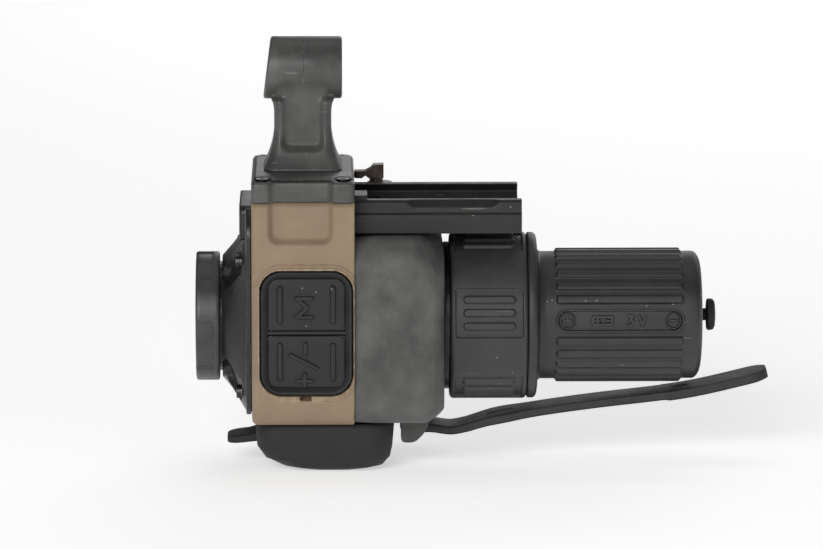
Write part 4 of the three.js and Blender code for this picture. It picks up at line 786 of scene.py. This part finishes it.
def focusSurface():
    # radius = a short barrel with rolled edges, less four wide shallow finger flats at the front
    angle = np.linspace(0, 2 * np.pi, 480, endpoint=False)
    start, end, outer = ringLow[0], ringHigh[0], ringHigh[2]
    profile = [(0.9, 7.9), (0.5, 7.95), (0.12, 8.2), (0, 8.5), (0, outer - 0.5), (0.05, outer - 0.25),
               (0.2, outer - 0.07), (0.42, outer), (0.9, outer), (1.5, outer), (2.0, outer), (2.6, outer),
               (2.85, outer), (2.92, outer), (3.0, outer), (3.08, outer), (3.15, outer), (3.5, outer),
               (3.75, outer), (3.95, outer - 0.1), (4.05, outer - 0.3), (4.05, outer - 2.2),
               (1.6, outer - 2.2)]
    x = np.array([p[0] for p in profile]) + start
    radius = np.array([p[1] for p in profile])[:, None] * np.ones(len(angle))
    arc = np.abs((np.degrees(angle) + 22 + 45) % 90 - 45) * math.pi / 180 * outer
    notch = ramp(4.8 - arc, 0.4) * ramp(3.0 - (x - start), 0.2)[:, None]
    radius = np.where(radius > outer - 0.6, radius - 0.38 * notch, radius)
    return swept(revolved(x, radius, angle), joined=True)


def lensSurface():
    # two shallow domes: x falls with the square of the radius
    low, high = span("objective_lens")
    r = np.linspace(0.02, 1, 28) * high[2]
    bulge = 1.1 * (r / high[2]) ** 2
    x = np.concatenate([low[0] + bulge, [low[0] + 2.3, low[0] + 2.5]])
    return swept(revolved(x, np.concatenate([r, [high[2], high[2] * 0.5]]), 128))


def cellSurface():
    # a thin sleeve with a retaining ring in its mouth that has two spanner slots
    low, high = span("lens_cell")
    angle = np.linspace(0, 2 * np.pi, 240, endpoint=False)
    outer = high[2]
    profile = [(0.25, 7.56), (0.0, 7.7), (0, outer - 0.15), (0.12, outer), (4.4, outer), (4.4, 7.56),
               (0.8, 7.56)]
    x = np.array([p[0] for p in profile])[:, None] + low[0] + np.zeros(len(angle))
    slot = ramp(0.7 - np.abs(np.sin(angle)) * outer, 0.3)
    x[:3] += 0.4 * slot
    radius = np.array([p[1] for p in profile])
    return swept(revolved(x, radius, angle), joined=True)


makePiece("coneFlange", [frontSurface(), bossSurface()], ["front_housing"], sharp=38)
makePiece("focusRing", [focusSurface()], ["focus_ring"], "turnedAluminium", sharp=35)
makePiece("frontLens", [lensSurface()], ["objective_lens"])
makePiece("lensCell", [cellSurface()], ["lens_cell"], sharp=35)
print("front")

# ---- projector arm on its base
arm = dict(footHalfX=6.75, footHalfY=7.5, halfX=4.9, halfY=5.1, flare=7.4, throat=2.4, barrel=5.35,
           frontReach=6.8, slant=1.35, pocketHalf=3.7, pocketDepth=0.75, pocketRise=3.2, pocketHeight=11.4)
baseLow, baseHigh = span("arm_base")
armLow, armHigh = span("projector_arm")
barrelAxis = armHigh[2] - arm["barrel"]


def neckWidths(z):
    # half widths at height z: a quadratic flare at the foot, then straight, then a small elliptic spread
    low = np.clip(1 - (z - armLow[2]) / arm["flare"], 0, 1) ** 2
    throat = np.clip((z - (barrelAxis - arm["barrel"] - 2.2)) / arm["throat"], 0, 0.98)
    spread = 0.6 * (1 - np.sqrt(1 - throat ** 2))
    halfX = arm["halfX"] + (arm["footHalfX"] - arm["halfX"]) * low + spread
    halfY = arm["halfY"] + (arm["footHalfY"] - arm["halfY"]) * low
    return halfX, halfY


def armNeck():
    # a rounded section carried up z with those widths, sunk by a pocket on the near and far face
    rows = []
    for z in np.concatenate([[armLow[2]], np.linspace(armLow[2] + 0.15, barrelAxis, 96)]):
        halfX, halfY = neckWidths(z)
        trim = 0.12 if z == armLow[2] else 0
        outline = roundedOutline(halfY - trim, -halfX + trim, halfX - trim, 1.7, 1.7, (46, 24, 46, 24), 9)
        rows.append(along("z", outline, z) + [housingMid, 0, 0])
    rows = np.array(rows)
    x, y, z = rows[..., 0], rows[..., 1], rows[..., 2]
    base = armLow[2] + arm["pocketRise"]
    pocket = insideBox(x, z, housingMid, base + arm["pocketHeight"] / 2, arm["pocketHalf"],
                       arm["pocketHeight"] / 2, 1.6)
    face = ramp(np.abs(y) - arm["halfY"] + 0.6, 0.4)
    level = np.maximum(np.abs(y) - (arm["halfY"] - arm["pocketDepth"]), 0)
    y -= np.sign(y) * level * ramp(pocket - 0.4, 1.3) * face
    y -= np.sign(y) * np.maximum(np.abs(y) - arm["halfY"] + arm["pocketDepth"],
                                 0) * ramp(z - barrelAxis + 4.6, 4.2)
    barrelSide = np.sqrt(np.clip(arm["barrel"] ** 2 - (z - barrelAxis) ** 2, 0, None)) - 0.06
    filletY = (np.abs(y) + barrelSide + np.sqrt((np.abs(y) - barrelSide) ** 2 + 0.3)) / 2 - 0.08
    y += np.sign(y) * (filletY - np.abs(y)) * ramp(z - barrelAxis + 4.9, 1) * face
    joined = ramp(np.abs(x - housingMid) - 3.9, 2.6) * ramp(z - barrelAxis + arm["barrel"] - 0.6, 1.4)
    y -= np.sign(y) * np.maximum(np.abs(y) - barrelSide, 0) * joined
    seamLine = ramp(0.1 - np.abs(x - housingMid - 0.25), 0.12) * ramp(-pocket - 0.2, 0.3) * face
    y -= np.sign(y) * 0.07 * seamLine
    return swept(rows, caps=("fan", "fan"))


def armBarrel():
    # a round bar along x whose front end leans back and whose back end is bored for the window
    angle = np.linspace(0, 2 * np.pi, 160, endpoint=False)
    r, start, end = arm["barrel"], housingMid - arm["frontReach"], armHigh[0]
    profile = [(0, r - 3.2, 1), (0, r - 0.5, 1), (0.06, r - 0.25, 1), (0.2, r - 0.08, 1), (0.45, r, 1),
               (3, r, 0.6), (6.6, r, 0), (6.94, r, 0), (6.98, r - 0.05, 0), (7.02, r, 0), (7.4, r, 0),
               (end - start - 0.4, r, 0), (end - start - 0.12, r - 0.12, 0), (end - start, r - 0.4, 0),
               (end - start, 4.15, 0), (end - start - 0.1, 4.0, 0), (end - start - 1.8, 4.0, 0)]
    reach, radius, lean = np.array(profile).T
    rise = arm["slant"] * (radius[:, None] * np.sin(angle) + r) / (2 * r)
    x = start + reach[:, None] + rise * lean[:, None]
    rows = revolved(x, radius, angle)
    rows[..., 2] += barrelAxis
    return swept(rows)


def baseSurface():
    # a rounded plan carried up z, its top falling away to the sides, with a hollow in the near wall and
    # four screw seats
    half = housingHigh[1]
    bottom, top = baseLow[2], baseHigh[2]
    rows = []
    for z, inset in [(bottom, 0.15), (bottom + 0.15, 0), (bottom + 0.8, 0), (top - 1.6, 0), (top - 0.95, 0),
                     (top - 0.8, 0.06), (top - 0.72, 0.2)]:
        outline = roundedOutline(half - inset, housingLow[0] + inset, housingHigh[0] - inset, 0.9, 0.9,
                                 (110, 40, 110, 40), 6)
        rows.append(along("z", outline, z))
    middle = np.array([housingMid, 0, top - 0.7])
    rows += towards(rows[-1], middle, np.linspace(0.985, 0.05, 46))
    rows = np.array(rows)
    x, y, z = rows[..., 0], rows[..., 1], rows[..., 2]
    fall = np.clip((half - np.abs(y)) / 3.2, 0, 1)
    z[7:] = top - 0.72 + 0.7 * np.minimum(fall, np.clip((housingHalf - np.abs(x - housingMid)) / 0.6, 0,
                                                        1))[7:]
    for node in range(1, 5):
        low, high = span(f"arm_screw_{node}")
        seat = 1.45 - np.hypot(x - (low[0] + high[0]) / 2, y - (low[1] + high[1]) / 2)
        sunk = ramp(seat, 0.3)[7:]
        z[7:] -= (z[7:] - (top - 1.15)) * sunk
    recess = insideBox(x, z, housingMid - housing["recessShift"], top, housing["recessWidth"] / 2, 12, 1.8)
    wall = ramp(-y - half + 1.4, 0.3)
    y += housing["recessDepth"] * ramp(recess - 0.35, 1.3) * wall
    return swept(rows)


makePiece("armBase", [baseSurface()], ["arm_base"], sharp=40)
makePiece("projectorArm", [armNeck(), armBarrel()], ["projector_arm"], sharp=42)
print("arm")

# ---- rail clamp
clamp = dict(scoopStart=-4.9, scoopEnd=9.8, scoop=0.9, fillet=0.22, stopLength=1.9)
clampLow, clampHigh = span("clamp_base")
jawLow, jawHigh = span("clamp_jaw")
clampTop = jawHigh[2]


def clampBody():
    # the clamp's section, a floor with an undercut near jaw, carried along x with a scooped upper edge
    seat = -axisHeight
    outer, high = clampLow[1], clampTop
    corners = np.array([(outer, clampLow[2]), (12.3, clampLow[2]), (12.3, seat - 0.3), (8, seat - 0.3),
                        (8, seat), (-8, seat), (-10.8, seat + 2.8), (-9.4, high), (outer + 0.9, high),
                        (outer + 0.45, high - 0.45), (outer + 0.45, high - 2.1), (outer, high - 2.5)])
    rows = []
    for x in np.concatenate([[housingHigh[0] - 0.1], np.linspace(clampLow[0] + 0.5, clampHigh[0] - 0.5, 70),
                             [clampHigh[0]]]):
        scoop = clamp["scoop"] * ramp(min(x - clamp["scoopStart"], clamp["scoopEnd"] - x), 1.6)
        bent = corners.copy()
        bent[8] += [scoop * 0.8, 0]
        bent[9] += [scoop * 0.15, -scoop * 0.9]
        rows.append(along("x", filleted(bent, clamp["fillet"], 5), x))
    stop = filleted([(-11.4, seat + 1), (-4, seat + 1), (-4, clampHigh[2]), (-11.4, clampHigh[2])], 0.3)
    stopRows = [along("x", stop, x) for x in (housingHigh[0] - 0.05, clampLow[0] + clamp["stopLength"])]
    return [swept(part, caps=("face", "face")) for part in (rows, stopRows)]


def clampSlider():
    # the far jaw's section carried along x
    seat = -axisHeight
    outer, high = jawHigh[1], clampTop
    corners = [(8.1, jawLow[2]), (outer, jawLow[2]), (outer, high - 0.6), (outer - 0.5, high), (9.4, high),
               (10.8, seat + 2.8)]
    rows = [along("x", filleted(corners, clamp["fillet"], 5), x)
            for x in np.linspace(housingHigh[0] + 0.1, jawHigh[0], 30)]
    return [swept(rows, caps=("face", "face"))]


def softenedCopy(name, node, width):
    # the CAD shape with its triangles joined and its edges rounded
    source = frame["nodes"][node].data.copy()
    shell = bmesh.new()
    shell.from_mesh(source)
    bmesh.ops.remove_doubles(shell, verts=shell.verts, dist=1e-6)
    bmesh.ops.dissolve_limit(shell, angle_limit=0.02, verts=shell.verts, edges=shell.edges)
    points = np.array([v.co for v in shell.verts]) * 1000 - [0, 0, axisHeight]
    faces = [[v.index for v in f.verts] for f in shell.faces]
    shell.free()
    bpy.data.meshes.remove(source)
    return makePiece(name, [(points, faces)], [node], bevel=width, merge=False)


makePiece("clampBody", clampBody(), ["clamp_base"], sharp=35, bevel=0.12)
makePiece("clampSlider", clampSlider(), ["clamp_jaw"], sharp=35, bevel=0.12)
softenedCopy("camLever", "release_lever", 0.14)
print("clamp")

# ---- rubber port cover
cover = dict(corner=4.5, tabHalf=4.3)
coverLow, coverHigh = span("port_cover")
coverFront = housingLow[0] + 0.5


def coverSurface():
    # a rounded plan that draws in towards the bottom, with a fine step below the rim
    half, back, top, drop = coverHigh[1], coverHigh[0], coverHigh[2], coverHigh[2] - coverLow[2]
    share = np.array([0, 0.02, 0.06, 0.3, 0.5, 0.62, 0.74, 0.76, 0.82, 0.9, 0.95, 0.985, 1.0])
    frontIn = np.interp(share, [0, 0.06, 0.5, 0.74, 0.76, 0.9, 0.98, 1], [0.25, 0, 0.3, 1.7, 2.1, 4.4, 7, 9])
    backIn = np.interp(share, [0, 0.06, 0.5, 0.74, 0.76, 0.9, 0.98, 1], [0.25, 0, 0.3, 0.7, 0.9, 1.8, 4, 6.5])
    sideIn = np.interp(share, [0, 0.06, 0.5, 0.74, 0.76, 0.9, 0.98, 1], [0.25, 0, 0, 0.3, 0.5, 1.0, 2.2, 4])
    rows = []
    for s, f, b, side in zip(share, frontIn, backIn, sideIn):
        outline = roundedOutline(half - side, coverFront + f, back - b, cover["corner"], cover["corner"],
                                 (24, 24, 24, 24), 12)
        rows.append(along("z", outline, top - s * drop))
    return swept(rows)


def tabSurface():
    # a round-nosed tongue that slopes down to its tip, thicker at its root
    tip, root, top = coverLow[0], coverFront + 3, coverHigh[2] - 3.1
    outline = roundedOutline(cover["tabHalf"], tip, root, 2.6, 0.5, (20, 16, 20, 16), 10)
    share = np.clip((outline[:, 1] - tip) / (coverFront - tip), 0, 1.4)
    middle = np.array([0, (tip + root) / 2])
    rows = []
    for lift, scale in ((0.0, 0.9), (0.0, 0.96), (0.12, 0.99), (0.3, 1), (0.9, 1), (1.08, 0.99),
                        (1.2, 0.96), (1.2, 0.9)):
        ring = middle + (outline - middle) * scale
        swell = 0.9 * np.clip(share - 0.75, 0, 1) * (lift / 1.2)
        rows.append(along("z", ring, top - 1.7 + lift + 0.5 * np.clip(share, 0, 1) + swell))
    return swept(rows)


makePiece("portCap", [coverSurface(), tabSurface()], ["port_cover"], sharp=50)
print("port cover")

# ---- retention strap
strap = dict(half=4.1, thick=1.4, eye=1.5, slot=(8.6, 13.4, 1.2), hole=(42.0, 1.5))
strapRoute = np.array([[0, 0], [2.9, 0.05], [6.2, -0.35], [8.9, 0.1], [10.9, 0.7], [13.2, 1.35], [17, 2.1],
                       [23.4, 3.15], [32, 4.3], [42.4, 5.5], [49, 6.55], [56.2, 8.2], [60.9, 9.4]])
pinLow, pinHigh = span("strap_pin")
pin = (pinLow + pinHigh) / 2


def smoothRoute(points, count):
    # a Catmull-Rom curve through the points, evenly sampled
    padded = np.vstack([2 * points[0] - points[1], points, 2 * points[-1] - points[-2]])
    t = np.linspace(0, 1, 24, endpoint=False)[:, None]
    pieces = []
    for a, b, c, d in zip(padded, padded[1:], padded[2:], padded[3:]):
        pieces.append(0.5 * (2 * b + (c - a) * t + (2 * a - 5 * b + 4 * c - d) * t ** 2
                             + (3 * b - a - 3 * c + d) * t ** 3))
    fine = np.vstack(pieces + [points[-1:]])
    length = np.concatenate([[0], np.cumsum(np.linalg.norm(np.diff(fine, axis=0), axis=1))])
    at = np.linspace(0, length[-1], count)
    return np.stack([np.interp(at, length, fine[:, k]) for k in (0, 1)], 1)


def strapHalf(side):
    # a flat bar from the middle line to one edge, carried along the route; the middle line parts at the
    # slot and hole
    path = smoothRoute(strapRoute, 300) + [pin[0], pin[2]]
    tangent = np.gradient(path, axis=0)
    tangent /= np.linalg.norm(tangent, axis=1, keepdims=True)
    x = path[:, 0]
    outer = strap["half"] + 0.9 * np.exp(-((x - 11) / 3.2) ** 2) + 0.25 * ramp(x - 39, 1.5)
    endGap = np.clip((x[-1] - x) / 3.2, 0, 1)
    outer = outer * np.sqrt(np.clip(1 - (1 - endGap) ** 2 * 0.85, 0, 1))
    slotStart, slotEnd, slotHalf = strap["slot"]
    holeX, holeRadius = strap["hole"]
    slotDistance = np.maximum(np.maximum(slotStart + slotHalf - x, x - slotEnd + slotHalf), 0)
    slot = np.sqrt(np.clip(slotHalf ** 2 - slotDistance ** 2, 0, None))
    hole = np.sqrt(np.clip(holeRadius ** 2 - (x - holeX) ** 2, 0, None))
    inner = np.maximum(slot, hole)
    low = -strap["thick"] / 2 - 0.2 * ramp(x - 39.5, 1)
    high = np.full(len(x), strap["thick"] / 2)
    r = 0.32
    turn = np.linspace(0, np.pi / 2, 5)
    across = np.concatenate([np.zeros(1), [1.0], np.full(5, 1.0), np.full(5, 1.0), [0.0]])
    rows = []
    edgeIn = np.concatenate([[0, 0], r * (1 - np.sin(turn)), r * (1 - np.cos(turn)), [0]])
    y = inner[:, None] + (outer - inner)[:, None] * across - edgeIn * (across > 0)
    lowSide = low[:, None] + np.concatenate([[0, 0], r * (1 - np.cos(turn))])
    highSide = high[:, None] - np.concatenate([r * (1 - np.sin(turn)), [0]])
    h = np.concatenate([lowSide, highSide], 1)
    up = np.stack([-tangent[:, 1], tangent[:, 0]], 1)
    points = np.stack([path[:, :1] + up[:, :1] * h, side * y, path[:, 1:] + up[:, 1:] * h], -1)
    return swept(points, caps=("face", "face"))


def strapEye():
    # a short barrel around the pin
    angle = np.linspace(0, 2 * np.pi, 48, endpoint=False)
    half, r = strap["half"], strap["eye"]
    rows = []
    for y, radius in [(-half, r - 0.3), (-half + 0.1, r - 0.08), (-half + 0.3, r), (half - 0.3, r),
                      (half - 0.1, r - 0.08), (half, r - 0.3)]:
        rows.append(np.stack([pin[0] + radius * np.cos(angle), np.full(48, y),
                              pin[2] + radius * np.sin(angle)], 1))
    return swept(rows)


makePiece("rubberStrap", [strapHalf(1), strapHalf(-1), strapEye()], ["retention_strap"], sharp=45)
print("strap")

# ---- floor and finish
aim = setCamera()
setLights(aim)


def makeFloor():
    # a plain pale sheet under the lowest point
    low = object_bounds()[0][2]
    mesh = bpy.data.meshes.new("floor")
    mesh.from_pydata([(-3, -3, low), (3, -3, low), (3, 3, low), (-3, 3, low)], [], [(0, 1, 2, 3)])
    floorMaterial = bpy.data.materials.new("paleFloor")
    floorMaterial.use_nodes = True
    shader = floorMaterial.node_tree.nodes["Principled BSDF"]
    shader.inputs["Base Color"].default_value = linear("#fbfbfb")
    shader.inputs["Roughness"].default_value = 0.9
    shader.inputs["Emission Color"].default_value = (1, 1, 1, 1)
    shader.inputs["Emission Strength"].default_value = floorGlow
    mesh.materials.append(floorMaterial)
    floor = bpy.data.objects.new("floor", mesh)
    bpy.context.scene.collection.objects.link(floor)


makeFloor()
